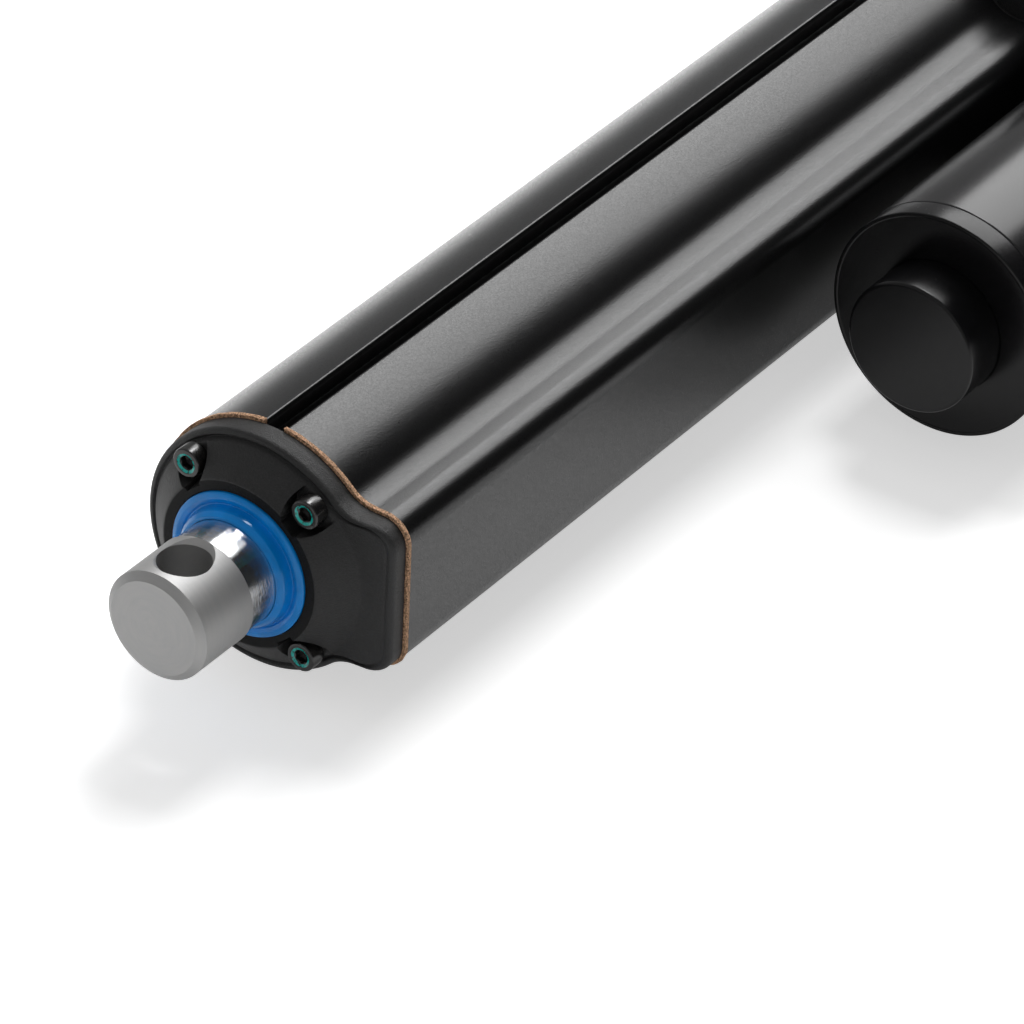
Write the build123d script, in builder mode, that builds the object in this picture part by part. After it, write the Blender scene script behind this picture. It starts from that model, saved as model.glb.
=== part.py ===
"""Electric linear actuator with a parallel motor.

Row frame, in millimetres: the origin is the centre of the rear eye, +X runs along the rod towards its free
end, +Y points to the motor and +Z is up. The rod is modelled pulled in.
"""

import os
from math import acos, atan2, cos, degrees, pi, radians, sin, tan

from build123d import *

os.makedirs("parts", exist_ok=True)

# Travel and the stations along the rod axis
stroke = 150.0
eye_to_housing = 21.0
rear_half_depth = 23.6
front_half_depth = 23.6
housing_gasket_thickness = 0.8
tube_gasket_thickness = 1.0
tube_length = 258.0
cover_depth = 11.7
wiper_projection = 0.7
rod_end_projection = 29.1

# Tube profile
tube_radius = 29.5
block_face_y = 35.4
block_half_height = 19.0
block_corner_radius = 6.0
block_valley_radius = 10.0
tube_wall = 4.5
slot_mouth = 5.0
slot_width = 7.6
slot_depth = 6.0
slot_lip = 1.6
slot_floor = 2.4
channel_wall = 2.6
channel_web = 2.4
channel_half_height = 13.0
cover_screw_y = 15.6
cover_screw_z = 18.5
cover_screw_boss_radius = 4.3

# Front cover, gasket and seals
cover_inset = 0.3
gasket_overhang = 0.35
cover_plate_thickness = 4.0
cover_plate_rounding = 1.2
cover_drum_height = 5.6
cover_rim_rounding = 1.5
cover_ring_radius = 20.3
pocket_floor_height = 6.2
pocket_radius = 5.2
cover_spigot_depth = 7.0
cover_hub_radius = 19.4
cover_hub_depth = 20.0
wiper_radius = 17.5
wiper_seat_depth = 8.3
wiper_lip_reach = 2.9
wiper_lip_thickness = 0.5
wiper_bead_width = 1.3
wiper_bead_rounding = 0.5
wiper_groove_depth = 0.3
wiper_groove_width = 0.6
seal_section = 2.6
bush_wall = 2.4
bush_length = 16.0
bush_shoulder = 3.0

# Rod, rod end and drive nut
rod_diameter = 25.0
rod_wall = 2.5
rod_end_diameter = 26.0
rod_end_length = 18.1
rod_end_chamfer_depth = 1.5
rod_end_chamfer_rise = 1.8
rod_end_back_chamfer = 0.5
rod_end_shank_length = 18.0
pin_hole_diameter = 12.1
pin_hole_setback = 10.5
pin_hole_sink = 1.4
nut_radius = 16.5
nut_collar_radius = 18.0
nut_collar_length = 4.0
nut_length = 26.0
nut_neck_length = 20.0
nut_start_gap = 3.0
guide_ring_length = 20.0
guide_ring_gap = 0.3
clip_thickness = 1.4
magnet_length = 8.0
magnet_width = 6.0
magnet_height = 2.6

# Lead screw, its bearing and its gear
screw_diameter = 16.0
screw_collar_radius = 10.0
screw_collar_length = 3.5
bearing_bore = 15.0
bearing_diameter = 35.0
bearing_width = 11.0
bearing_land = 3.6
bearing_ball_radius = 3.0
bearing_ball_count = 8
gear_journal_diameter = 12.0
lock_nut_thickness = 5.5
lock_nut_flats = 18.0
screw_tail = 1.5
tip_guide_length = 6.5
tip_journal_diameter = 10.0
tip_clearance_to_nut = 10.0
key_width = 4.0
key_height = 4.0
key_length = 8.0

# Spur gear train
first_module = 1.0
first_pinion_teeth = 15
first_wheel_teeth = 51
second_module = 1.25
second_pinion_teeth = 16
second_wheel_teeth = 40
first_face_width = 8.0
second_face_width = 10.0
pinion_extra_width = 2.0
wheel_spacing = 5.0
tooth_backlash = 0.12
pressure_angle = 20.0
web_recess = 2.0
web_hole_count = 6
idler_axle_diameter = 8.0
idler_seat_diameter = 14.0

# Gear housing
housing_half_height = 32.0
housing_wall = 3.5
housing_front_wall = 5.0
housing_rear_wall = 4.0
housing_corner_radius = 14.0
housing_edge_rounding = 2.0
housing_rear_rounding = 5.0
housing_screw_inset = 8.0
housing_boss_radius = 5.0
bearing_hub_wall = 2.8
axle_boss_radius = 7.5
eye_radius = 13.5
eye_width = 24.0
eye_root_half_width = 19.0
eye_bush_wall = 2.1
eye_bush_overhang = 0.5
eye_rib_thickness = 6.0
eye_rib_rise = 15.0

# Motor
motor_radius = 28.0
motor_wall = 2.0
motor_spigot_depth = 3.0
motor_shaft_diameter = 8.0
motor_bearing_diameter = 22.0
motor_bearing_width = 7.0
cap_rim_length = 6.0
cap_rounding = 1.2
cap_spigot_depth = 5.0
cap_hub_radius = 9.5
cap_dish = 0.8
plug_radius = 16.4
plug_length = 12.2
plug_rounding = 1.1
plug_stem_radius = 7.6
magnet_thickness = 4.5
magnet_span = 130.0
rotor_gap = 0.7
rotor_setback = 20.0
rotor_length = 48.0
rotor_slots = 12
rotor_slot_width = 3.0
rotor_slot_depth = 8.0
end_turn_length = 6.5
commutator_radius = 10.0
commutator_length = 10.0
end_turn_gap = 2.0
commutator_gap = 2.0
brush_width = 6.0
brush_length = 8.0
cap_bolt_depth = 2.0
motor_bolt_offset = 23.2
motor_bolt_angle = 15.0

# Sensor board in the side channel
board_thickness = 1.6
board_length = 190.0
sensor_length = 14.0
sensor_width = 5.0

# Power socket in the rear of the gear housing
socket_radius = 9.0
socket_flange_radius = 12.0
socket_flange_thickness = 2.5
socket_depth = 17.0
socket_recess_radius = 6.4
socket_recess_depth = 13.5
contact_radius = 0.8
contact_length = 7.0
contact_circle = 3.0

# Screws: thread radius, head radius, head height and socket across flats
m4_radius = 2.0
m4_head_radius = 3.5
m4_head_height = 4.0
m4_socket_flats = 3.0
cover_screw_length = 16.0
rear_screw_length = 18.0
housing_screw_length = 36.0
screw_hole_clearance = 0.25

# Clearances
running_clearance = 0.05
seat_clearance = 0.02
loose_clearance = 0.3
thread_clearance = 0.04

# Stations worked out from the values above
housing_rear_x = eye_to_housing
rear_half_front_x = housing_rear_x + rear_half_depth
front_half_rear_x = rear_half_front_x + housing_gasket_thickness
housing_front_x = front_half_rear_x + front_half_depth
tube_rear_x = housing_front_x + tube_gasket_thickness
tube_front_x = tube_rear_x + tube_length
cover_rear_x = tube_front_x + tube_gasket_thickness
cover_face_x = cover_rear_x + cover_depth
wiper_face_x = cover_face_x + wiper_projection
rod_face_x = wiper_face_x + rod_end_projection
rod_end_rear_x = rod_face_x - rod_end_length
pin_hole_x = rod_face_x - pin_hole_setback

rod_radius = rod_diameter / 2
rod_bore_radius = rod_radius - rod_wall
rod_end_radius = rod_end_diameter / 2
pin_hole_radius = pin_hole_diameter / 2
screw_radius = screw_diameter / 2
bearing_radius = bearing_diameter / 2
bearing_bore_radius = bearing_bore / 2
gear_journal_radius = gear_journal_diameter / 2
cavity_radius = tube_radius - tube_wall
slot_bottom_z = tube_radius - slot_depth
slot_boss_z = slot_bottom_z - slot_floor
slot_boss_half_width = slot_width / 2 + slot_floor

idler_y = second_module * (second_pinion_teeth + second_wheel_teeth) / 2
motor_y = idler_y + first_module * (first_pinion_teeth + first_wheel_teeth) / 2

inner_rear_x = housing_rear_x + housing_rear_wall
lock_nut_x = inner_rear_x + 2 * screw_tail
output_gear_x = lock_nut_x + lock_nut_thickness
output_gear_end_x = output_gear_x + second_face_width
first_wheel_x = output_gear_end_x + wheel_spacing
first_wheel_end_x = first_wheel_x + first_face_width
clip_x = first_wheel_end_x + 2 * pinion_extra_width - clip_thickness
bearing_x = clip_x + clip_thickness
bearing_end_x = bearing_x + bearing_width
inner_front_x = housing_front_x - housing_front_wall
screw_thread_x = bearing_end_x + screw_collar_length
hub_front_x = bearing_end_x + screw_collar_length
nut_x = hub_front_x + nut_start_gap
nut_front_x = nut_x + nut_collar_length + nut_length
nut_neck_end_x = nut_front_x + nut_neck_length
guide_ring_x = nut_x + nut_collar_length
guide_ring_end_x = guide_ring_x + guide_ring_length
screw_tip_x = nut_neck_end_x + stroke + tip_clearance_to_nut
tip_guide_end_x = screw_tip_x + tip_guide_length
pinion_x = first_wheel_x - pinion_extra_width / 2
pinion_end_x = first_wheel_end_x + pinion_extra_width

motor_axis = Axis((0, motor_y, 0), (1, 0, 0))
idler_axis = Axis((0, idler_y, 0), (1, 0, 0))
rotor_x = housing_front_x + rotor_setback
rotor_end_x = rotor_x + rotor_length
commutator_x = rotor_end_x + end_turn_length + end_turn_gap
motor_front_x = commutator_x + commutator_length + commutator_gap + cap_spigot_depth
motor_length = motor_front_x - housing_front_x
motor_bolt_length = motor_front_x - inner_front_x
cap_face_x = motor_front_x + cap_rim_length
cover_screws = [(a * cover_screw_y, b * cover_screw_z) for a in (-1, 1) for b in (-1, 1)]
housing_y_low = -housing_half_height
housing_y_high = motor_y + housing_half_height
housing_mid_y = (housing_y_low + housing_y_high) / 2
housing_width = housing_y_high - housing_y_low
housing_screws = [
    (housing_mid_y + a * (housing_width / 2 - housing_screw_inset), b * (housing_half_height - housing_screw_inset))
    for a in (-1, 1)
    for b in (-1, 1)
]
motor_bolt_dy = motor_bolt_offset * cos(radians(motor_bolt_angle))
motor_bolt_dz = motor_bolt_offset * sin(radians(motor_bolt_angle))
motor_bolts = [(motor_y - motor_bolt_dy, motor_bolt_dz), (motor_y + motor_bolt_dy, -motor_bolt_dz)]
screw_bore_radius = m4_radius + screw_hole_clearance


def across(x):
    """The plane square to the rod at station x, with Y to its right and Z up."""
    return Plane.YZ.offset(x)


def turned(points, centre_y=0.0):
    """A closed outline of (x, radius) points, to be revolved about the axis at centre_y."""
    with BuildSketch(Plane((0, centre_y, 0), x_dir=(1, 0, 0), z_dir=(0, 0, 1))) as section:
        with BuildLine():
            Polyline(*points, close=True)
        make_face()
    return section.sketch


def disc(x, radius, centres=((0, 0),)):
    """Discs of one radius square to the rod, at each (y, z) centre."""
    with BuildSketch(across(x)) as section:
        with Locations(*centres):
            Circle(radius)
    return section.sketch


def body_outline(x, grow=0.0):
    """The tube's outer form: a round body with a rounded block on its motor side, grown by grow all round."""
    block_y = block_face_y + grow
    with BuildSketch(across(x)) as section:
        Circle(tube_radius + grow)
        with Locations((block_y / 2, 0)):
            Rectangle(block_y, 2 * (block_half_height + grow))
        valleys = section.vertices().group_by(Axis.X)[0]
        fillet(valleys, radius=block_valley_radius - grow)
        corners = section.vertices().group_by(Axis.X)[-1]
        fillet(corners, radius=block_corner_radius + grow)
    return section.sketch


def cavity_outline(x, inset=0.0):
    """The tube's main cavity, shrunk by inset: round, cut in by four screw bosses and the slot's floor."""
    with BuildSketch(across(x)) as section:
        Circle(cavity_radius - inset)
        with Locations(*cover_screws):
            Circle(cover_screw_boss_radius + inset, mode=Mode.SUBTRACT)
        with Locations((0, slot_boss_z - inset + tube_radius / 2)):
            Rectangle(2 * (slot_boss_half_width + inset), tube_radius, mode=Mode.SUBTRACT)
    return section.sketch


def slot_outline(x):
    """The T slot along the top of the tube: a narrow mouth over a wider groove."""
    with BuildSketch(across(x)) as section:
        with Locations((0, (slot_bottom_z + tube_radius - slot_lip) / 2)):
            Rectangle(slot_width, slot_depth - slot_lip)
        with Locations((0, (slot_bottom_z + tube_radius + slot_lip) / 2)):
            Rectangle(slot_mouth, slot_depth + slot_lip)
    return section.sketch


def channel_outline(x):
    """The side channel in the block, which holds the sensor board."""
    low = cavity_radius + channel_web
    high = block_face_y - channel_wall
    with BuildSketch(across(x)) as section:
        with Locations(((low + high) / 2, 0)):
            RectangleRounded(high - low, 2 * channel_half_height, 1.0)
    return section.sketch


def housing_outline(x, inset=0.0):
    """The gear housing's outline, a rounded rectangle round both shafts."""
    with BuildSketch(across(x)) as section:
        with Locations((housing_mid_y, 0)):
            RectangleRounded(
                housing_width - 2 * inset, 2 * (housing_half_height - inset), housing_corner_radius - inset
            )
    return section.sketch


def gear_outline(x, centre_y, module, teeth, first_tooth):
    """A spur gear's outline with involute flanks, each drawn as an arc through three points of the involute.

    first_tooth is the angle of one tooth's centre line, in degrees from +Y towards +Z.
    """
    pitch_radius = module * teeth / 2
    base_radius = pitch_radius * cos(radians(pressure_angle))
    tip_radius = pitch_radius + module
    root_radius = pitch_radius - 1.25 * module
    start_radius = max(base_radius, root_radius + 0.05 * module)
    half_tooth = pi / (2 * teeth) - tooth_backlash / (4 * pitch_radius)
    pitch_roll = tan(radians(pressure_angle)) - radians(pressure_angle)

    def half_width(radius):
        """Half the angle that the tooth spans at this radius."""
        flank_angle = acos(min(1.0, base_radius / radius))
        return half_tooth + pitch_roll - (tan(flank_angle) - flank_angle)

    def at(radius, angle):
        return (centre_y + radius * cos(angle), radius * sin(angle))

    middle_radius = (start_radius + tip_radius) / 2
    step = 2 * pi / teeth
    with BuildSketch(across(x)) as section:
        with BuildLine():
            for tooth in range(teeth):
                centre = radians(first_tooth) + tooth * step
                foot = half_width(start_radius)
                Line(at(root_radius, centre - foot), at(start_radius, centre - foot))
                ThreePointArc(
                    at(start_radius, centre - foot),
                    at(middle_radius, centre - half_width(middle_radius)),
                    at(tip_radius, centre - half_width(tip_radius)),
                )
                Line(at(tip_radius, centre - half_width(tip_radius)), at(tip_radius, centre + half_width(tip_radius)))
                ThreePointArc(
                    at(tip_radius, centre + half_width(tip_radius)),
                    at(middle_radius, centre + half_width(middle_radius)),
                    at(start_radius, centre + foot),
                )
                Line(at(start_radius, centre + foot), at(root_radius, centre + foot))
                Line(at(root_radius, centre + foot), at(root_radius, centre + step - foot))
        make_face()
    return section.sketch


def save(piece, label):
    """Label a finished piece and write it under that name."""
    piece.part.label = label
    export_step(piece.part, f"parts/{label}.step")


def cap_screws(label, centres, seat_x, length, facing):
    """Hexagon socket screws along X, heads on seat_x and pointing to facing, which is 1 for +X and -1 for -X."""
    with BuildPart() as screws:
        extrude(disc(seat_x, m4_head_radius, centres), amount=facing * m4_head_height)
        extrude(disc(seat_x, m4_radius - thread_clearance, centres), amount=-facing * length)
        with BuildSketch(across(seat_x + facing * m4_head_height)) as sockets:
            with Locations(*centres):
                RegularPolygon(m4_socket_flats / 2, 6, major_radius=False)
        extrude(sockets.sketch, amount=-facing * m4_head_height / 2, mode=Mode.SUBTRACT)
    save(screws, label)


# Tube and gaskets
with BuildPart() as profile_tube:
    extrude(body_outline(tube_rear_x), amount=tube_length)
    extrude(cavity_outline(tube_rear_x), amount=tube_length, mode=Mode.SUBTRACT)
    extrude(channel_outline(tube_rear_x), amount=tube_length, mode=Mode.SUBTRACT)
    extrude(slot_outline(tube_rear_x), amount=tube_length, mode=Mode.SUBTRACT)
    extrude(disc(tube_front_x, m4_radius, cover_screws), amount=-cover_screw_length, mode=Mode.SUBTRACT)
    extrude(disc(tube_rear_x, m4_radius, cover_screws), amount=rear_screw_length, mode=Mode.SUBTRACT)
save(profile_tube, "profile_tube")

# Flat gaskets at both ends of the tube: the tube's section, a little proud of it outside
for gasket_x, gasket_name in ((tube_front_x, "front_gasket"), (housing_front_x, "rear_gasket")):
    with BuildPart() as tube_gasket:
        extrude(body_outline(gasket_x, gasket_overhang), amount=tube_gasket_thickness)
        extrude(cavity_outline(gasket_x), amount=tube_gasket_thickness, mode=Mode.SUBTRACT)
        extrude(channel_outline(gasket_x), amount=tube_gasket_thickness, mode=Mode.SUBTRACT)
        extrude(disc(gasket_x, screw_bore_radius, cover_screws), amount=tube_gasket_thickness, mode=Mode.SUBTRACT)
        with Locations((gasket_x, 0, slot_bottom_z + tube_radius / 2)):
            Box(3 * tube_gasket_thickness, slot_mouth, tube_radius, mode=Mode.SUBTRACT)
    save(tube_gasket, gasket_name)

# Front cover: a plate of the tube's outline, a drum with a sloping face, a spigot and a hub inside the tube
drum_rim_x = cover_rear_x + cover_drum_height
wiper_seat_x = cover_face_x - wiper_seat_depth
bush_front_x = wiper_seat_x - 2 * bush_shoulder
bush_rear_x = bush_front_x - bush_length
bush_radius = rod_radius + running_clearance + bush_wall
cover_hub_x = cover_rear_x - cover_hub_depth
seal_x = (bush_front_x + wiper_seat_x) / 2
seal_radius = rod_radius + running_clearance + seal_section / 2
seal_groove_radius = seal_radius + seal_section / 2 + seat_clearance
pocket_floor_x = cover_rear_x + pocket_floor_height

cover_drum_radius = tube_radius - cover_inset
with BuildPart() as cover_plate:
    extrude(body_outline(cover_rear_x, -cover_inset), amount=cover_plate_thickness)
    fillet(cover_plate.faces().sort_by(Axis.X)[-1].edges(), radius=cover_plate_rounding)

with BuildPart() as front_cover:
    # Drum with a sloping face and a rounded rim
    revolve(
        turned(
            [
                (cover_rear_x, 0),
                (cover_rear_x, cover_drum_radius),
                (drum_rim_x, cover_drum_radius),
                (cover_face_x, cover_ring_radius),
                (cover_face_x, 0),
            ]
        ),
        axis=Axis.X,
    )
    drum_rim = front_cover.edges().filter_by(GeomType.CIRCLE).group_by(SortBy.RADIUS)[-1].sort_by(Axis.X)[-1]
    fillet(drum_rim, radius=cover_rim_rounding)
    add(cover_plate.part)
    extrude(cavity_outline(cover_rear_x, seat_clearance), amount=-cover_spigot_depth)
    extrude(disc(cover_rear_x, cover_hub_radius), amount=-cover_hub_depth)
    # Pockets for the screw heads, open outwards where the sloping face meets their floor
    for screw_y, screw_z in cover_screws:
        outwards = degrees(atan2(screw_z, screw_y))
        with BuildSketch(across(pocket_floor_x)) as pocket:
            with Locations((screw_y, screw_z)):
                Circle(pocket_radius)
            with Locations(Location((screw_y, screw_z), outwards)):
                Rectangle(tube_radius, 2 * pocket_radius, align=(Align.MIN, Align.CENTER))
        extrude(pocket.sketch, amount=cover_depth, mode=Mode.SUBTRACT)
    extrude(disc(cover_hub_x, screw_bore_radius, cover_screws), amount=2 * cover_depth + cover_hub_depth,
            mode=Mode.SUBTRACT)
    # One stepped bore: bush seat, seal groove and wiper seat
    revolve(
        turned(
            [
                (cover_hub_x - 1, 0),
                (cover_hub_x - 1, bush_radius),
                (bush_front_x, bush_radius),
                (bush_front_x, rod_radius + loose_clearance),
                (seal_x - seal_section / 2 - seat_clearance, rod_radius + loose_clearance),
                (seal_x - seal_section / 2 - seat_clearance, seal_groove_radius),
                (seal_x + seal_section / 2 + seat_clearance, seal_groove_radius),
                (seal_x + seal_section / 2 + seat_clearance, rod_radius + loose_clearance),
                (wiper_seat_x, rod_radius + loose_clearance),
                (wiper_seat_x, wiper_radius),
                (cover_face_x + 1, wiper_radius),
                (cover_face_x + 1, 0),
            ]
        ),
        axis=Axis.X,
        mode=Mode.SUBTRACT,
    )
save(front_cover, "front_cover")

cap_screws("front_cover_screws", cover_screws, pocket_floor_x, pocket_floor_height + cover_screw_length, 1)

# Guide bush, seal ring and wiper that the rod slides through
with BuildPart() as rod_guide_bush:
    extrude(disc(bush_rear_x, bush_radius - seat_clearance), amount=bush_length)
    extrude(disc(bush_rear_x, rod_radius + running_clearance), amount=bush_length, mode=Mode.SUBTRACT)
save(rod_guide_bush, "rod_guide_bush")

with BuildPart() as rod_seal:
    with BuildSketch(Plane.XY) as seal_ring:
        with Locations((seal_x, seal_radius)):
            Circle(seal_section / 2)
    revolve(seal_ring.sketch, axis=Axis.X)
save(rod_seal, "rod_seal")

wiper_seat_radius = wiper_radius - seat_clearance
wiper_bore_radius = rod_radius + 2 * running_clearance
wiper_groove_radius = wiper_seat_radius - wiper_bead_width
wiper_flank_radius = wiper_groove_radius - wiper_groove_width
wiper_lip_radius = wiper_bore_radius + wiper_lip_thickness
wiper_lip_x = wiper_face_x + wiper_lip_reach
with BuildPart() as rod_wiper:
    # A seat ring with a bead and a groove, and a flared flank that ends in the lip on the rod
    revolve(
        turned(
            [
                (wiper_seat_x, wiper_bore_radius + 2.0),
                (wiper_seat_x, wiper_seat_radius),
                (wiper_face_x - wiper_bead_rounding, wiper_seat_radius),
                (wiper_face_x, wiper_seat_radius - wiper_bead_rounding),
                (wiper_face_x, wiper_groove_radius),
                (wiper_face_x - wiper_groove_depth, wiper_groove_radius - wiper_groove_width / 2),
                (wiper_face_x, wiper_flank_radius),
                (wiper_face_x + wiper_lip_reach / 3, (2 * wiper_flank_radius + wiper_lip_radius) / 3),
                (wiper_lip_x - wiper_lip_thickness, wiper_lip_radius + wiper_lip_thickness),
                (wiper_lip_x, wiper_lip_radius),
                (wiper_lip_x, wiper_bore_radius + 0.1),
                (wiper_lip_x - 2 * wiper_lip_thickness, wiper_bore_radius),
                (wiper_seat_x + wiper_seat_depth / 2, wiper_bore_radius + 0.6),
            ]
        ),
        axis=Axis.X,
    )
save(rod_wiper, "rod_wiper")

# Rod: push tube, rod end with its cross hole, drive nut and what guides it
with BuildPart() as push_tube:
    extrude(disc(nut_front_x, rod_radius), amount=rod_end_rear_x - nut_front_x)
    extrude(disc(nut_front_x, rod_bore_radius), amount=rod_end_rear_x - nut_front_x, mode=Mode.SUBTRACT)
save(push_tube, "push_tube")

with BuildPart() as rod_end:
    revolve(
        turned(
            [
                (rod_end_rear_x - rod_end_shank_length, 0),
                (rod_end_rear_x - rod_end_shank_length, rod_bore_radius - seat_clearance),
                (rod_end_rear_x, rod_bore_radius - seat_clearance),
                (rod_end_rear_x, rod_end_radius - rod_end_back_chamfer),
                (rod_end_rear_x + rod_end_back_chamfer, rod_end_radius),
                (rod_face_x - rod_end_chamfer_depth, rod_end_radius),
                (rod_face_x, rod_end_radius - rod_end_chamfer_rise),
                (rod_face_x, 0),
            ]
        ),
        axis=Axis.X,
    )
    # Cross hole for the pin, countersunk at both ends
    sink_reach = pin_hole_radius + pin_hole_sink + 1
    with BuildSketch(Plane((pin_hole_x, 0, 0), x_dir=(1, 0, 0), z_dir=(0, -1, 0))) as cross_hole:
        with BuildLine():
            Polyline(
                (0, -rod_end_radius - 1),
                (sink_reach, -rod_end_radius - 1),
                (pin_hole_radius, -rod_end_radius + pin_hole_sink),
                (pin_hole_radius, rod_end_radius - pin_hole_sink),
                (sink_reach, rod_end_radius + 1),
                (0, rod_end_radius + 1),
                close=True,
            )
        make_face()
    revolve(cross_hole.sketch, axis=Axis((pin_hole_x, 0, 0), (0, 0, 1)), mode=Mode.SUBTRACT)
save(rod_end, "rod_end")

with BuildPart() as drive_nut:
    revolve(
        turned(
            [
                (nut_x, screw_radius + running_clearance),
                (nut_x, nut_collar_radius),
                (guide_ring_x, nut_collar_radius),
                (guide_ring_x, nut_radius),
                (nut_front_x, nut_radius),
                (nut_front_x, rod_bore_radius - seat_clearance),
                (nut_neck_end_x, rod_bore_radius - seat_clearance),
                (nut_neck_end_x, screw_radius + running_clearance),
            ]
        ),
        axis=Axis.X,
    )
save(drive_nut, "drive_nut")

# The guide ring follows the tube's cavity, whose screw bosses keep the nut from turning
magnet_z = slot_boss_z - guide_ring_gap - seat_clearance - magnet_height / 2
magnet_y = cavity_radius - 2 * guide_ring_gap - magnet_height / 2
guide_ring_mid_x = guide_ring_x + guide_ring_length / 2
magnet_places = [
    ((guide_ring_mid_x, 0, magnet_z), (magnet_length, magnet_width, magnet_height)),
    ((guide_ring_mid_x, magnet_y, 0), (magnet_length, magnet_height, magnet_width)),
]
with BuildPart() as guide_ring:
    extrude(cavity_outline(guide_ring_x, guide_ring_gap), amount=guide_ring_length)
    extrude(disc(guide_ring_x, nut_radius + seat_clearance), amount=guide_ring_length, mode=Mode.SUBTRACT)
    for place, size in magnet_places:
        with Locations(place):
            Box(*(side + 2 * seat_clearance for side in size), mode=Mode.SUBTRACT)
save(guide_ring, "guide_ring")

with BuildPart() as guide_ring_clip:
    extrude(disc(guide_ring_end_x, nut_collar_radius), amount=clip_thickness)
    extrude(disc(guide_ring_end_x, nut_radius + seat_clearance), amount=clip_thickness, mode=Mode.SUBTRACT)
    with Locations((guide_ring_end_x + clip_thickness / 2, 0, -nut_collar_radius)):
        Box(2 * clip_thickness, nut_radius / 2, nut_radius / 2, mode=Mode.SUBTRACT)
save(guide_ring_clip, "guide_ring_clip")

with BuildPart() as sensor_magnets:
    for place, size in magnet_places:
        with Locations(place):
            Box(*size)
save(sensor_magnets, "sensor_magnets")

# Lead screw, turned by the output gear and held by its bearing
screw_rear_x = inner_rear_x + screw_tail
with BuildPart() as lead_screw:
    revolve(
        turned(
            [
                (screw_rear_x, 0),
                (screw_rear_x, gear_journal_radius),
                (bearing_x, gear_journal_radius),
                (bearing_x, bearing_bore_radius),
                (bearing_end_x, bearing_bore_radius),
                (bearing_end_x, screw_collar_radius),
                (screw_thread_x, screw_collar_radius),
                (screw_thread_x, screw_radius),
                (screw_tip_x, screw_radius),
                (screw_tip_x, tip_journal_diameter / 2),
                (tip_guide_end_x + clip_thickness, tip_journal_diameter / 2),
                (tip_guide_end_x + clip_thickness, 0),
            ]
        ),
        axis=Axis.X,
    )
    with Locations((output_gear_x + second_face_width / 2, 0, gear_journal_radius)):
        Box(key_length, key_width, key_height + 2 * seat_clearance, mode=Mode.SUBTRACT)
save(lead_screw, "lead_screw")

with BuildPart() as gear_key:
    with Locations((output_gear_x + second_face_width / 2, 0, gear_journal_radius)):
        Box(key_length - 2 * seat_clearance, key_width - 2 * seat_clearance, key_height)
save(gear_key, "gear_key")

with BuildPart() as tip_guide:
    extrude(disc(screw_tip_x, rod_bore_radius - 2 * running_clearance), amount=tip_guide_length)
    extrude(disc(screw_tip_x, tip_journal_diameter / 2 + seat_clearance), amount=tip_guide_length, mode=Mode.SUBTRACT)
save(tip_guide, "tip_guide")

with BuildPart() as tip_guide_clip:
    extrude(disc(tip_guide_end_x, tip_journal_diameter / 2 + clip_thickness), amount=clip_thickness)
    extrude(disc(tip_guide_end_x, tip_journal_diameter / 2 + seat_clearance), amount=clip_thickness, mode=Mode.SUBTRACT)
    with Locations((tip_guide_end_x + clip_thickness / 2, 0, -tip_journal_diameter / 2)):
        Box(2 * clip_thickness, tip_journal_diameter / 2, tip_journal_diameter, mode=Mode.SUBTRACT)
save(tip_guide_clip, "tip_guide_clip")

with BuildPart() as screw_lock_nut:
    with BuildSketch(across(lock_nut_x)) as lock_nut_outline:
        RegularPolygon(lock_nut_flats / 2, 6, major_radius=False)
        Circle(gear_journal_radius + thread_clearance, mode=Mode.SUBTRACT)
    extrude(lock_nut_outline.sketch, amount=lock_nut_thickness)
save(screw_lock_nut, "screw_lock_nut")

with BuildPart() as gear_spacer:
    extrude(disc(output_gear_end_x, bearing_bore_radius + loose_clearance), amount=bearing_x - output_gear_end_x)
    extrude(disc(output_gear_end_x, gear_journal_radius + seat_clearance), amount=bearing_x - output_gear_end_x,
            mode=Mode.SUBTRACT)
save(gear_spacer, "gear_spacer")

# Screw bearing: two grooved rings with a row of balls between them
ball_circle = (bearing_radius + bearing_bore_radius) / 2
bearing_mid_x = bearing_x + bearing_width / 2
with BuildPart() as screw_bearing_outer:
    extrude(disc(bearing_x, bearing_radius - seat_clearance), amount=bearing_width)
    extrude(disc(bearing_x, bearing_radius - bearing_land), amount=bearing_width, mode=Mode.SUBTRACT)
    with BuildSketch(Plane.XY) as outer_groove:
        with Locations((bearing_mid_x, ball_circle)):
            Circle(bearing_ball_radius + running_clearance)
    revolve(outer_groove.sketch, axis=Axis.X, mode=Mode.SUBTRACT)
save(screw_bearing_outer, "screw_bearing_outer")

with BuildPart() as screw_bearing_inner:
    extrude(disc(bearing_x, bearing_bore_radius + bearing_land), amount=bearing_width)
    extrude(disc(bearing_x, bearing_bore_radius + seat_clearance), amount=bearing_width, mode=Mode.SUBTRACT)
    with BuildSketch(Plane.XY) as inner_groove:
        with Locations((bearing_mid_x, ball_circle)):
            Circle(bearing_ball_radius + 2 * running_clearance)
    revolve(inner_groove.sketch, axis=Axis.X, mode=Mode.SUBTRACT)
save(screw_bearing_inner, "screw_bearing_inner")

with BuildPart() as screw_bearing_balls:
    with Locations(across(bearing_mid_x)):
        with PolarLocations(ball_circle, bearing_ball_count):
            Sphere(bearing_ball_radius)
save(screw_bearing_balls, "screw_bearing_balls")

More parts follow.
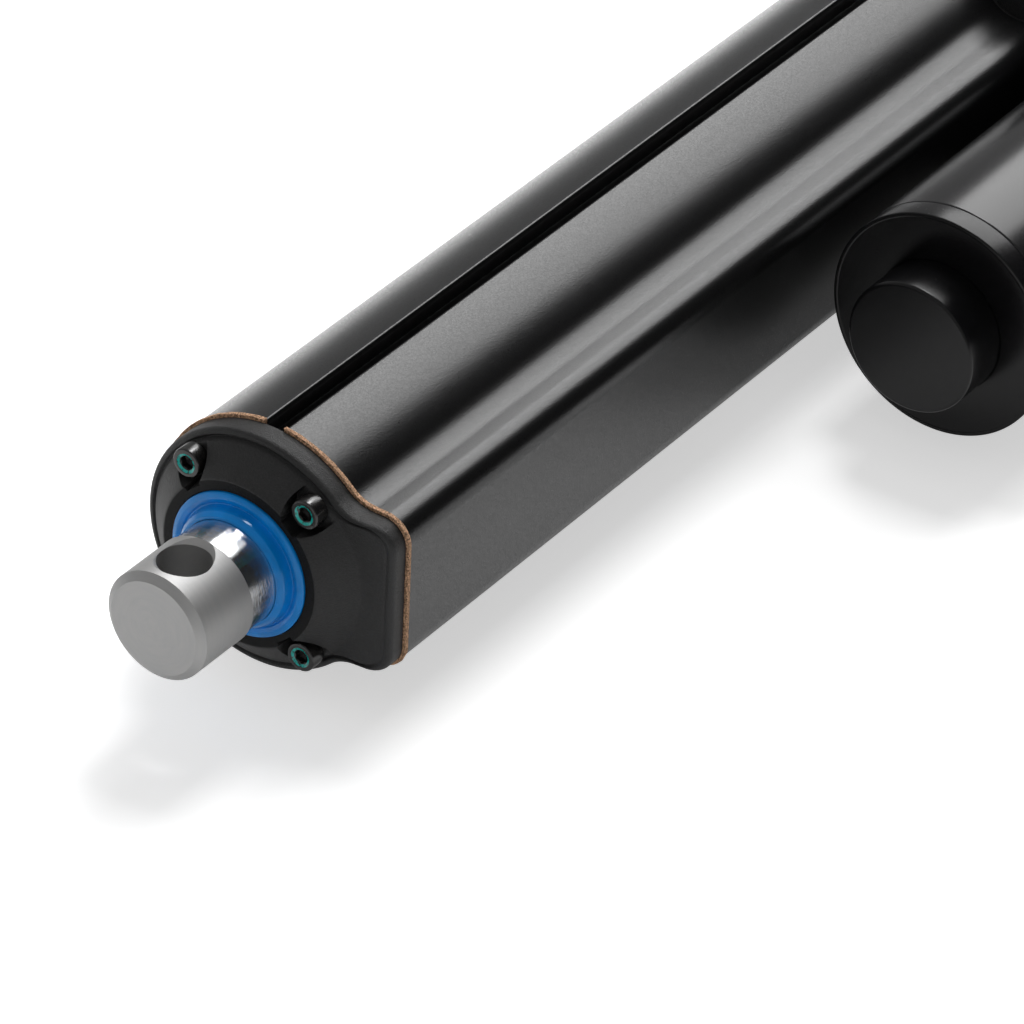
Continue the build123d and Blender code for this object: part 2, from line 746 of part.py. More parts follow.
with BuildPart() as bearing_circlip:
    extrude(disc(clip_x, bearing_radius + clip_thickness / 2), amount=clip_thickness)
    extrude(disc(clip_x, bearing_radius - 1.5 * clip_thickness), amount=clip_thickness, mode=Mode.SUBTRACT)
    with Locations((clip_x + clip_thickness / 2, 0, -bearing_radius)):
        Box(2 * clip_thickness, bearing_radius / 3, bearing_radius / 2, mode=Mode.SUBTRACT)
save(bearing_circlip, "bearing_circlip")


# Gear train, in mesh at rest: motor pinion, idler wheel, idler pinion and output gear
def web_sketch(x, centre_y, inner_radius, outer_radius):
    """The ring on a wheel's side that is recessed between its hub and its rim."""
    with BuildSketch(across(x)) as section:
        with Locations((centre_y, 0)):
            Circle(outer_radius)
            Circle(inner_radius, mode=Mode.SUBTRACT)
    return section.sketch


def web_holes(x, centre_y, circle_radius, hole_radius):
    """Lightening holes round a wheel's web."""
    with BuildSketch(across(x)) as section:
        with Locations((centre_y, 0)):
            with PolarLocations(circle_radius, web_hole_count):
                Circle(hole_radius)
    return section.sketch


def wheel_web_radii(module, teeth, hub_radius):
    """Inner and outer radius of the recess in a wheel's side, and its middle radius and hole radius."""
    rim = module * (teeth / 2 - 1.25) - 2.5 * module
    middle = (hub_radius + rim) / 2
    return hub_radius, rim, middle, (rim - hub_radius) / 2 - module


gear_bore = gear_journal_radius + seat_clearance
output_web = wheel_web_radii(second_module, second_wheel_teeth, lock_nut_flats / 2 + 1)
with BuildPart() as output_gear:
    extrude(
        gear_outline(output_gear_x, 0, second_module, second_wheel_teeth, 180 / second_wheel_teeth),
        amount=second_face_width,
    )
    for side_x, inwards in ((output_gear_x, 1), (output_gear_end_x, -1)):
        extrude(web_sketch(side_x, 0, *output_web[:2]), amount=inwards * web_recess, mode=Mode.SUBTRACT)
    extrude(web_holes(output_gear_x, 0, *output_web[2:]), amount=second_face_width, mode=Mode.SUBTRACT)
    extrude(disc(output_gear_x, gear_bore), amount=second_face_width, mode=Mode.SUBTRACT)
    with Locations((output_gear_x + second_face_width / 2, 0, gear_journal_radius / 2 + key_height / 4 + seat_clearance)):
        Box(second_face_width, key_width, gear_journal_radius + key_height / 2, mode=Mode.SUBTRACT)
save(output_gear, "output_gear")

idler_seat_radius = idler_seat_diameter / 2
idler_web = wheel_web_radii(first_module, first_wheel_teeth, idler_seat_radius + 3 * first_module)
with BuildPart() as idler_gear:
    extrude(gear_outline(first_wheel_x, idler_y, first_module, first_wheel_teeth, 0), amount=first_face_width)
    for side_x, inwards in ((first_wheel_x, 1), (first_wheel_end_x, -1)):
        extrude(web_sketch(side_x, idler_y, *idler_web[:2]), amount=inwards * web_recess, mode=Mode.SUBTRACT)
    extrude(web_holes(first_wheel_x, idler_y, *idler_web[2:]), amount=first_face_width, mode=Mode.SUBTRACT)
    extrude(disc(first_wheel_x, idler_seat_radius + seat_clearance, ((idler_y, 0),)), amount=first_face_width,
            mode=Mode.SUBTRACT)
save(idler_gear, "idler_gear")

idler_pinion_x = output_gear_x - pinion_extra_width / 2
axle_radius = idler_axle_diameter / 2
with BuildPart() as idler_pinion:
    extrude(
        gear_outline(idler_pinion_x, idler_y, second_module, second_pinion_teeth, 180),
        amount=first_wheel_x - idler_pinion_x - seat_clearance,
    )
    extrude(disc(idler_pinion_x, idler_seat_radius, ((idler_y, 0),)), amount=first_wheel_end_x - idler_pinion_x)
    extrude(disc(idler_pinion_x, axle_radius + running_clearance, ((idler_y, 0),)),
            amount=first_wheel_end_x - idler_pinion_x, mode=Mode.SUBTRACT)
save(idler_pinion, "idler_pinion")

axle_rear_x = inner_rear_x - housing_rear_wall / 2
axle_front_x = inner_front_x + housing_front_wall / 2
with BuildPart() as idler_axle:
    extrude(disc(axle_rear_x, axle_radius, ((idler_y, 0),)), amount=axle_front_x - axle_rear_x)
save(idler_axle, "idler_axle")

shaft_radius = motor_shaft_diameter / 2
with BuildPart() as motor_pinion:
    extrude(
        gear_outline(pinion_x, motor_y, first_module, first_pinion_teeth, 180 + 180 / first_pinion_teeth),
        amount=pinion_end_x - pinion_x,
    )
    extrude(disc(pinion_x, shaft_radius + seat_clearance, ((motor_y, 0),)), amount=pinion_end_x - pinion_x,
            mode=Mode.SUBTRACT)
save(motor_pinion, "motor_pinion")

# Gear housing, front half: walls, screw bosses, bearing hub, motor bearing pocket and axle boss
hub_radius = bearing_radius + bearing_hub_wall
motor_bearing_radius = motor_bearing_diameter / 2
motor_bearing_x = housing_front_x - motor_bearing_width
motor_hub_radius = motor_bearing_radius + bearing_hub_wall
motor_inner_radius = motor_radius - motor_wall
shoulder_radius = screw_collar_radius + 2.0
axle_boss_front_x = first_wheel_end_x + 2 * loose_clearance
with BuildPart() as gear_housing_front:
    extrude(housing_outline(front_half_rear_x), amount=front_half_depth)
    fillet(gear_housing_front.faces().sort_by(Axis.X)[-1].edges(), radius=housing_edge_rounding)
    extrude(housing_outline(front_half_rear_x, housing_wall), amount=inner_front_x - front_half_rear_x,
            mode=Mode.SUBTRACT)
    extrude(disc(front_half_rear_x, housing_boss_radius, housing_screws), amount=inner_front_x - front_half_rear_x)
    extrude(disc(clip_x - clip_thickness, hub_radius), amount=housing_front_x - clip_x + clip_thickness)
    extrude(cavity_outline(housing_front_x, seat_clearance), amount=hub_front_x - housing_front_x)
    extrude(disc(axle_boss_front_x, axle_boss_radius, ((idler_y, 0),)), amount=inner_front_x - axle_boss_front_x)
    extrude(disc(motor_bearing_x - 1, motor_hub_radius, ((motor_y, 0),)), amount=motor_bearing_width)
    extrude(disc(housing_front_x, motor_inner_radius - seat_clearance, ((motor_y, 0),)), amount=motor_spigot_depth)
    # Bearing pocket with its circlip groove, open to the gears, and the hole for the screw's collar
    revolve(
        turned(
            [
                (clip_x - 2 * clip_thickness, 0),
                (clip_x - 2 * clip_thickness, bearing_radius),
                (clip_x, bearing_radius),
                (clip_x, bearing_radius + clip_thickness / 2 + seat_clearance),
                (bearing_x, bearing_radius + clip_thickness / 2 + seat_clearance),
                (bearing_x, bearing_radius),
                (bearing_end_x, bearing_radius),
                (bearing_end_x, shoulder_radius),
                (hub_front_x + 1, shoulder_radius),
                (hub_front_x + 1, 0),
            ]
        ),
        axis=Axis.X,
        mode=Mode.SUBTRACT,
    )
    # Pocket for the motor's bearing, and the hollow front of the motor's spigot
    revolve(
        turned(
            [
                (front_half_rear_x, 0),
                (front_half_rear_x, motor_bearing_radius - 2),
                (motor_bearing_x, motor_bearing_radius - 2),
                (motor_bearing_x, motor_bearing_radius),
                (housing_front_x, motor_bearing_radius),
                (housing_front_x, motor_inner_radius - 6),
                (housing_front_x + motor_spigot_depth + 1, motor_inner_radius - 6),
                (housing_front_x + motor_spigot_depth + 1, 0),
            ],
            motor_y,
        ),
        axis=motor_axis,
        mode=Mode.SUBTRACT,
    )
    extrude(disc(axle_boss_front_x, axle_radius + seat_clearance, ((idler_y, 0),)),
            amount=axle_front_x - axle_boss_front_x + seat_clearance, mode=Mode.SUBTRACT)
    extrude(disc(front_half_rear_x, m4_radius, housing_screws), amount=housing_screw_length / 2, mode=Mode.SUBTRACT)
    extrude(disc(front_half_rear_x, screw_bore_radius, cover_screws + motor_bolts),
            amount=front_half_depth + cover_depth, mode=Mode.SUBTRACT)
save(gear_housing_front, "gear_housing_front")

cap_screws("rear_tube_screws", cover_screws, inner_front_x, housing_front_wall + rear_screw_length, -1)

# Gear housing, rear half: tapered shell with the mounting eye cast on
eye_bush_radius = pin_hole_radius + eye_bush_wall
head_seat_x = housing_rear_x + m4_head_height + 0.4
socket_centre = ((motor_y, 0),)
with BuildPart() as gear_housing_rear:
    extrude(housing_outline(housing_rear_x), amount=rear_half_depth)
    fillet(gear_housing_rear.faces().sort_by(Axis.X)[0].edges(), radius=housing_rear_rounding)
    extrude(housing_outline(inner_rear_x, housing_wall), amount=rear_half_front_x - inner_rear_x, mode=Mode.SUBTRACT)
    extrude(disc(inner_rear_x, housing_boss_radius, housing_screws), amount=rear_half_front_x - inner_rear_x)
    extrude(disc(inner_rear_x, axle_boss_radius, ((idler_y, 0),)),
            amount=idler_pinion_x - 2 * loose_clearance - inner_rear_x)
    # The eye: a lug with a round end, spreading towards the housing, and a rib above and below it
    with BuildSketch(Plane.XY.offset(-eye_width / 2)) as lug:
        Circle(eye_radius)
        Polygon(
            (0, -eye_radius),
            (housing_rear_x + 1, -eye_root_half_width),
            (housing_rear_x + 1, eye_root_half_width),
            (0, eye_radius),
            align=None,
        )
    extrude(lug.sketch, amount=eye_width)
    with BuildSketch(Plane.XZ.offset(-eye_rib_thickness / 2)) as ribs:
        for side in (-1, 1):
            Polygon(
                (eye_radius - 4, side * (eye_width / 2 - 1)),
                (housing_rear_x + 1, side * (eye_width / 2 - 1)),
                (housing_rear_x + 1, side * (eye_width / 2 + eye_rib_rise)),
                (housing_rear_x - 2, side * (eye_width / 2 + eye_rib_rise)),
                align=None,
            )
    extrude(ribs.sketch, amount=eye_rib_thickness)
    with BuildSketch(Plane.XY.offset(-eye_width / 2)) as eye_bore:
        Circle(eye_bush_radius)
    extrude(eye_bore.sketch, amount=eye_width, mode=Mode.SUBTRACT)
    extrude(disc(axle_rear_x - seat_clearance, axle_radius + seat_clearance, ((idler_y, 0),)),
            amount=idler_pinion_x - axle_rear_x, mode=Mode.SUBTRACT)
    extrude(disc(housing_rear_x, m4_head_radius + screw_hole_clearance, housing_screws),
            amount=head_seat_x - housing_rear_x, mode=Mode.SUBTRACT)
    extrude(disc(housing_rear_x, screw_bore_radius, housing_screws), amount=rear_half_depth, mode=Mode.SUBTRACT)
    extrude(disc(housing_rear_x, socket_radius + seat_clearance, socket_centre), amount=housing_rear_wall,
            mode=Mode.SUBTRACT)
save(gear_housing_rear, "gear_housing_rear")

with BuildPart() as rear_eye_bush:
    with BuildSketch(Plane.XY.offset(-eye_width / 2 - eye_bush_overhang)) as eye_sleeve:
        Circle(eye_bush_radius - seat_clearance)
        Circle(pin_hole_radius, mode=Mode.SUBTRACT)
    extrude(eye_sleeve.sketch, amount=eye_width + 2 * eye_bush_overhang)
save(rear_eye_bush, "rear_eye_bush")

with BuildPart() as housing_gasket:
    extrude(housing_outline(rear_half_front_x), amount=housing_gasket_thickness)
    extrude(housing_outline(rear_half_front_x, housing_wall), amount=housing_gasket_thickness, mode=Mode.SUBTRACT)
    extrude(disc(rear_half_front_x, housing_boss_radius, housing_screws), amount=housing_gasket_thickness)
    extrude(disc(rear_half_front_x, screw_bore_radius, housing_screws), amount=housing_gasket_thickness,
            mode=Mode.SUBTRACT)
save(housing_gasket, "housing_gasket")

cap_screws("housing_screws", housing_screws, head_seat_x, housing_screw_length - 4, -1)

# Motor: can, magnets, rotor, commutator, brushes and end cap
with BuildPart() as motor_tube:
    extrude(disc(housing_front_x, motor_radius, socket_centre), amount=motor_length)
    extrude(disc(housing_front_x, motor_inner_radius, socket_centre), amount=motor_length, mode=Mode.SUBTRACT)
save(motor_tube, "motor_tube")

rotor_radius = motor_inner_radius - magnet_thickness - rotor_gap
with BuildPart() as motor_magnets:
    with BuildSketch(across(rotor_x)) as magnet_arcs:
        with Locations((motor_y, 0)):
            Circle(motor_inner_radius - seat_clearance)
            Circle(motor_inner_radius - magnet_thickness, mode=Mode.SUBTRACT)
            gap = 2 * motor_inner_radius * cos(radians(magnet_span / 2))
            Rectangle(3 * motor_inner_radius, gap, mode=Mode.SUBTRACT)
    extrude(magnet_arcs.sketch, amount=rotor_length)
save(motor_magnets, "motor_magnets")

cap_bush_x = motor_front_x - cap_spigot_depth
cap_bush_end_x = motor_front_x + cap_rim_length / 3
with BuildPart() as armature_shaft:
    extrude(disc(pinion_x - 1, shaft_radius, socket_centre), amount=cap_bush_end_x - pinion_x)
save(armature_shaft, "armature_shaft")


def rotor_slot_sketch(x, radius, width, depth):
    """The winding slots round the rotor, cut in from its rim."""
    with BuildSketch(across(x)) as section:
        with Locations((motor_y, 0)):
            with PolarLocations(radius - depth / 2, rotor_slots):
                Rectangle(depth, width)
    return section.sketch


with BuildPart() as armature_core:
    extrude(disc(rotor_x, rotor_radius, socket_centre), amount=rotor_length)
    extrude(disc(rotor_x, shaft_radius + seat_clearance, socket_centre), amount=rotor_length, mode=Mode.SUBTRACT)
    extrude(rotor_slot_sketch(rotor_x, rotor_radius, rotor_slot_width, rotor_slot_depth), amount=rotor_length,
            mode=Mode.SUBTRACT)
save(armature_core, "armature_core")

winding_radius = rotor_radius - 1.5
with BuildPart() as armature_windings:
    wire_width = rotor_slot_width - 2 * seat_clearance
    wire_depth = rotor_slot_depth - 1.5 - 2 * seat_clearance
    extrude(rotor_slot_sketch(rotor_x, winding_radius, wire_width, wire_depth), amount=rotor_length)
    for turn_x in (rotor_x - end_turn_length, rotor_end_x):
        extrude(disc(turn_x, winding_radius, socket_centre), amount=end_turn_length)
    extrude(disc(rotor_x - end_turn_length, shaft_radius + seat_clearance, socket_centre),
            amount=rotor_length + 2 * end_turn_length, mode=Mode.SUBTRACT)
save(armature_windings, "armature_windings")

with BuildPart() as commutator:
    extrude(disc(commutator_x, commutator_radius, socket_centre), amount=commutator_length)
    extrude(disc(commutator_x, shaft_radius + seat_clearance, socket_centre), amount=commutator_length,
            mode=Mode.SUBTRACT)
    extrude(rotor_slot_sketch(commutator_x, commutator_radius, 0.6, 1.0), amount=commutator_length,
            mode=Mode.SUBTRACT)
save(commutator, "commutator")

brush_plate_x = commutator_x + 1.5
brush_plate_thickness = commutator_length - 3
with BuildPart() as brush_holder:
    extrude(disc(brush_plate_x, motor_inner_radius - seat_clearance, socket_centre), amount=brush_plate_thickness)
    extrude(disc(brush_plate_x, commutator_radius + 1.5, socket_centre), amount=brush_plate_thickness,
            mode=Mode.SUBTRACT)
    extrude(disc(brush_plate_x, screw_bore_radius, motor_bolts), amount=brush_plate_thickness, mode=Mode.SUBTRACT)
    with Locations((brush_plate_x + brush_plate_thickness / 2, motor_y, 0)):
        Box(brush_width, brush_width, 2 * (commutator_radius + brush_length + 2), mode=Mode.SUBTRACT)
save(brush_holder, "brush_holder")

with BuildPart() as brushes:
    for side in (-1, 1):
        with Locations(
            (
                brush_plate_x + brush_plate_thickness / 2,
                motor_y,
                side * (commutator_radius + running_clearance + brush_length / 2),
            )
        ):
            Box(brush_width - 2 * seat_clearance, brush_width - 2 * seat_clearance, brush_length)
save(brushes, "brushes")

with BuildPart() as motor_drive_bearing:
    extrude(disc(motor_bearing_x, motor_bearing_radius - seat_clearance, socket_centre), amount=motor_bearing_width)
    extrude(disc(motor_bearing_x, shaft_radius + running_clearance, socket_centre), amount=motor_bearing_width,
            mode=Mode.SUBTRACT)
save(motor_drive_bearing, "motor_drive_bearing")

cap_bush_radius = cap_hub_radius - 3
with BuildPart() as motor_cap_bush:
    extrude(disc(cap_bush_x, cap_bush_radius - seat_clearance, socket_centre), amount=cap_spigot_depth)
    extrude(disc(cap_bush_x, shaft_radius + running_clearance, socket_centre), amount=cap_spigot_depth,
            mode=Mode.SUBTRACT)
save(motor_cap_bush, "motor_cap_bush")

cap_spigot_radius = motor_inner_radius - seat_clearance
motor_seal_x = motor_front_x - cap_spigot_depth / 2
with BuildPart() as motor_end_cap:
    extrude(disc(motor_front_x, motor_radius, socket_centre), amount=cap_rim_length)
    fillet(motor_end_cap.faces().sort_by(Axis.X)[-1].edges(), radius=cap_rounding)
    extrude(disc(motor_front_x - cap_spigot_depth, cap_spigot_radius, socket_centre), amount=cap_spigot_depth)
    # Inside of the spigot, hub with its bush seat, hole for the plug's stem and the shallow dish in the face
    revolve(
        turned(
            [
                (cap_bush_x - 1, cap_hub_radius),
                (cap_bush_x - 1, motor_bolt_offset - m4_head_radius),
                (motor_front_x, motor_bolt_offset - m4_head_radius),
                (motor_front_x, cap_hub_radius),
            ],
            motor_y,
        ),
        axis=motor_axis,
        mode=Mode.SUBTRACT,
    )
    revolve(
        turned(
            [
                (cap_bush_x - 1, 0),
                (cap_bush_x - 1, cap_bush_radius),
                (motor_front_x, cap_bush_radius),
                (motor_front_x, shaft_radius + loose_clearance),
                (cap_bush_end_x, shaft_radius + loose_clearance),
                (cap_bush_end_x, plug_stem_radius),
                (cap_face_x - cap_dish, plug_stem_radius),
                (cap_face_x - cap_dish, plug_radius),
                (cap_face_x, motor_radius - 2 * cap_rounding),
                (cap_face_x + 1, motor_radius - 2 * cap_rounding),
                (cap_face_x + 1, 0),
            ],
            motor_y,
        ),
        axis=motor_axis,
        mode=Mode.SUBTRACT,
    )
    extrude(disc(motor_front_x - cap_spigot_depth, m4_radius, motor_bolts), amount=cap_spigot_depth + cap_bolt_depth,
            mode=Mode.SUBTRACT)
    with BuildSketch(Plane((0, motor_y, 0), x_dir=(1, 0, 0), z_dir=(0, 0, 1))) as seal_groove:
        with Locations((motor_seal_x, motor_inner_radius)):
            Rectangle(1.6, 1.5)
    revolve(seal_groove.sketch, axis=motor_axis, mode=Mode.SUBTRACT)
save(motor_end_cap, "motor_end_cap")

with BuildPart() as motor_seal:
    with BuildSketch(Plane((0, motor_y, 0), x_dir=(1, 0, 0), z_dir=(0, 0, 1))) as seal_section_sketch:
        with Locations((motor_seal_x, motor_inner_radius - 0.39)):
            Rectangle(1.2, 0.68)
    revolve(seal_section_sketch.sketch, axis=motor_axis)
save(motor_seal, "motor_seal")

with BuildPart() as motor_cap_plug:
    plug_seat_x = cap_face_x - cap_dish
    extrude(disc(plug_seat_x, plug_radius - seat_clearance, socket_centre), amount=plug_length + cap_dish)
    fillet(motor_cap_plug.faces().sort_by(Axis.X)[-1].edges(), radius=plug_rounding)
    extrude(disc(cap_bush_end_x + loose_clearance, plug_stem_radius - seat_clearance, socket_centre),
            amount=plug_seat_x - cap_bush_end_x - loose_clearance)
save(motor_cap_plug, "motor_cap_plug")

cap_screws("motor_bolts", motor_bolts, inner_front_x, motor_bolt_length, -1)

# Sensor board in the side channel, with a sensor over each end of the magnets' travel
channel_low_y = cavity_radius + channel_web
board_y = block_face_y - channel_wall - board_thickness / 2 - 1.2
board_x = tube_rear_x + 14
with BuildPart() as sensor_board:
    with Locations((board_x + board_length / 2, board_y, 0)):
        Box(board_length, board_thickness, 2 * (channel_half_height - seat_clearance))
save(sensor_board, "sensor_board")

sensor_height = board_y - board_thickness / 2 - channel_low_y - loose_clearance
with BuildPart() as limit_sensors:
    for sensor_x in (guide_ring_mid_x, guide_ring_mid_x + stroke):
        with Locations((sensor_x, board_y - board_thickness / 2 - sensor_height / 2, 0)):
            Box(sensor_length, sensor_height, sensor_width)
save(limit_sensors, "limit_sensors")

# Power socket with its contacts
socket_rear_x = housing_rear_x - socket_flange_thickness
with BuildPart() as power_socket:
    extrude(disc(socket_rear_x, socket_flange_radius, socket_centre), amount=socket_flange_thickness)
    fillet(power_socket.faces().sort_by(Axis.X)[0].edges(), radius=0.8)
    extrude(disc(housing_rear_x, socket_radius, socket_centre), amount=socket_depth - socket_flange_thickness)
    extrude(disc(socket_rear_x, socket_recess_radius, socket_centre), amount=socket_recess_depth, mode=Mode.SUBTRACT)
save(power_socket, "power_socket")

with BuildPart() as socket_contacts:
    with BuildSketch(across(socket_rear_x + socket_recess_depth)) as contact_pins:
        with Locations((motor_y, 0)):
            with PolarLocations(contact_circle, 4, start_angle=45):
                Circle(contact_radius)
    extrude(contact_pins.sketch, amount=-contact_length)
save(socket_contacts, "socket_contacts")
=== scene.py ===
"""Electric linear actuator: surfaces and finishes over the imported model.

The model's frame is in metres: the origin is the rear eye, +X runs along the rod towards its free end, +Y
points to the motor and +Z is up.
"""

from math import pi, radians, sqrt

import bmesh
import bpy
import numpy as np
from bpy.props import FloatProperty, FloatVectorProperty, PointerProperty
from bpy.types import Operator, Panel, PropertyGroup
from mathutils import Matrix, Vector
from mathutils.geometry import tessellate_polygon


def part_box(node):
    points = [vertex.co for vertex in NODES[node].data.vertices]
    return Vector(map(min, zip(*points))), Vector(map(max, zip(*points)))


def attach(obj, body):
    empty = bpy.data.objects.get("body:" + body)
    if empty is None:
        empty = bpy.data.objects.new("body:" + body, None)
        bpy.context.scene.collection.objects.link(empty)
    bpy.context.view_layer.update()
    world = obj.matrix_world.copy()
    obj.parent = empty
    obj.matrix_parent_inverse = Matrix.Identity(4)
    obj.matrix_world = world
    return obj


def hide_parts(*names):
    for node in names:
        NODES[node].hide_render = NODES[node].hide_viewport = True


bl_info = {
    "name": "Linear actuator finish",
    "version": (1, 0, 0),
    "blender": (4, 5, 0),
    "location": "View3D > Sidebar > Actuator",
    "description": "Surfaces and finishes for an electric linear actuator",
    "category": "Object",
}

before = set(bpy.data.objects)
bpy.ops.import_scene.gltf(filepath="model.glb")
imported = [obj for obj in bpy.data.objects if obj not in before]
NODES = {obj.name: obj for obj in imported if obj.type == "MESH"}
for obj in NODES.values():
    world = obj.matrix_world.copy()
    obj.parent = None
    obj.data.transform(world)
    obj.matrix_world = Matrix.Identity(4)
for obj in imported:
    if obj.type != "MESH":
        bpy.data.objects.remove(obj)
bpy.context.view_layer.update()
MM = 0.001


def box_mm(node):
    """The low and high corners of a node's box, in millimetres."""
    return tuple(np.array(corner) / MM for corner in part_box(node))


# Where the model's own pieces are, in millimetres as are the sizes below
TUBE_LOW, TUBE_HIGH = box_mm("profile_tube")
GASKET_HIGH = box_mm("front_gasket")[1]
COVER_LOW = box_mm("front_cover")[0]
SCREWS_LOW, SCREWS_HIGH = box_mm("front_cover_screws")
WIPER_LOW, WIPER_HIGH = box_mm("rod_wiper")
CAN_LOW, CAN_HIGH = box_mm("motor_tube")
CAP_LOW, CAP_HIGH = box_mm("motor_end_cap")
PLUG_LOW, PLUG_HIGH = box_mm("motor_cap_plug")

# Tube: a round with a block on its +Y side, a cavity, a channel in the block and a slot along the top
TUBE_RADIUS = -TUBE_LOW[1]
TUBE_WALL = 4.5
CAVITY_RADIUS = TUBE_RADIUS - TUBE_WALL
BLOCK_FACE = TUBE_HIGH[1]
BLOCK_HALF = 19.0
BLOCK_CORNER = 6.0
BLOCK_VALLEY = 10.0
BOSS_RADIUS = 4.3
CHANNEL = ((27.4, -13.0), (32.8, 13.0))
CHANNEL_CORNER = 1.0
SLOT_HALF_WIDTH = 3.8
SLOT_BOTTOM = TUBE_RADIUS - 6.0
SLOT_LIP = 1.6
SLOT_FLOOR = 2.4
SLOT_EDGES = [0.55, 0.15, 0.25, 0.05]
SLOT_EASE_ANGLE = 0.024

# Gaskets
GASKET_OVERHANG = 0.5
GASKET_NOTCH_EDGES = [0.15, 0.3]
GASKET_RIPPLE = 0.05
GASKET_SHRINK = 0.06
GASKET_STATIONS = 6
REAR_GASKET_RECESS = GASKET_OVERHANG + 0.05

# Front cover: a cut ring, a cone down to a flat plate, and a rim with a crease inside it
COVER_SCREWS = [(a * 15.6, b * 18.5) for a in (-1, 1) for b in (-1, 1)]
COVER_INSET = 0.3
COVER_REAR = GASKET_HIGH[0]
COVER_RING_DEPTH = 3.6
COVER_FACE = WIPER_HIGH[0] - COVER_RING_DEPTH
COVER_RING_RADIUS = 20.3
# Within this radius the cover's paint is made darker and duller
DARK_RING_RADIUS = COVER_RING_RADIUS - 0.25
COVER_FOOT_RADIUS = 27.2
COVER_EDGE_EASE = 0.15
RIM_RISE = 5.5
BLOCK_RISE = 4.4
RISE_CHANGE = (38.0, 22.0)
RIM_ROUNDING = 1.25
CREASE_INSET = 1.9
CREASE_WIDTH = 0.4
CREASE_CHANGE = (34.0, 28.0)
CREASE_AT_BLOCK = 0.15
CREASE_MORE_AT_RIM = 0.45
FOOT_CREASE = 0.1
RING_BLEND = 0.25
RELIEF_BLEND = 0.3
POCKET_RADIUS = 5.0
POCKET_RISE = 6.2
POCKET_DRAFT = 24.0
POCKET_FOOT = 0.2
PLACES_APART = 0.16
SPIGOT_LENGTH = 7.0
SPIGOT_SHRINK = 0.996
HUB_RADIUS = 19.4
WIPER_SEAT_RADIUS = 17.5
WIPER_SEAT_CHAMFER = 0.2
ROD_RADIUS = 12.5
ROD_CLEARANCE = 0.2

# Cover screws: socket heads with a ring of dye, which fades in and out over these distances from the axis
# and ends over these depths
SCREW_HEAD_RADIUS = 3.5
SCREW_HEAD_HEIGHT = 4.0
SCREW_SHANK_RADIUS = 1.95
SCREW_TIP_CHAMFER = 0.4
SCREW_SEAT_CHAMFER = 0.12
HEX_FLATS = 3.0
HEX_DEPTH = 2.0
HEX_POINT = 0.5
DYE_INNER = (1.72, 1.86)
DYE_OUTER = (2.42, 2.34)
DYE_DEPTH = (0.6, 0.45)

# Motor
MOTOR_CENTRE = ((CAN_LOW[1] + CAN_HIGH[1]) / 2, 0.0)
MOTOR_RADIUS = CAN_HIGH[1] - MOTOR_CENTRE[0]
CAN_WALL = 2.0
PLUG_RADIUS = PLUG_HIGH[1] - MOTOR_CENTRE[0]
PLUG_STEM_RADIUS = 7.6
PLUG_CLEARANCE = 0.05
PLUG_SEAT_DEPTH = 0.8
SHAFT_HOLE_RADIUS = 4.3
BUSH_SEAT_RADIUS = 6.5
CAP_HUB_RADIUS = 9.5
CAP_BOLT_RING = 19.0

# Camera, from the photograph: focal length in pixels, and directions and place in the model's frame
PHOTO_PIXELS = 1024
FOCAL_PIXELS = 6792.6
SENSOR_WIDTH = 36
CAMERA_RIGHT = (-0.57314182, 0.81850533, 0.03946502)
CAMERA_DOWN = (0.44931777, 0.3541709, -0.82016859)
CAMERA_FORWARD = (-0.68528972, -0.45234058, -0.57075914)
CAMERA_PLACE = (1.293413, 0.697875, 0.836852)

# Lamps, room and floor, in metres and watts
WIPER_MIDDLE = (WIPER_LOW + WIPER_HIGH) / 2 * MM
TOP_BOX = dict(centre=(-0.69, -0.13, 0.94), target=(0.2, 0, 0), width=0.94, height=0.8, power=11.3)
HIGH_BOX = dict(centre=(-0.137, -0.1, 1.1), target=WIPER_MIDDLE, width=0.3, height=0.3, power=4.2)
DARK_CORNER = (-0.62, 0.62, 0.48)
DARK_CORNER_COSINES = (0.45, 0.93)
ROOM_LIGHT = 0.36
CORNER_LIGHT = 0.02
FLOOR_HEIGHT = -0.034
FLOOR_MIDDLE = 0.2
FLOOR_GLOW_SEEN = 0.55
FLOOR_GLOW_MIRRORED = 0.2

# Steps along arcs and round turned pieces
FAR_SIDE_STEPS = 150
TOP_STEPS = 40
CORNER_STEPS = 14
EDGE_STEPS = 7
CAVITY_STEPS = 300
OUTLINE_STEPS = 24
TURNED_COLUMNS = 192
COVER_COLUMNS = 840
SCREW_COLUMNS = 72


# Sizes and colours that can be changed in the sidebar


class ActuatorSizes(PropertyGroup):
    slot_mouth: FloatProperty(
        name="Slot mouth", description="Width of the tube's slot at its mouth", default=5.0 * MM, min=0.001,
        unit="LENGTH",
    )
    grain: FloatProperty(
        name="Anodised grain", description="Size of the grains in the tube's finish", default=0.3 * MM,
        min=0.00002, unit="LENGTH",
    )
    paint_grain: FloatProperty(
        name="Paint grain", description="Size of the grains in the castings' paint", default=0.3 * MM,
        min=0.00002, unit="LENGTH",
    )


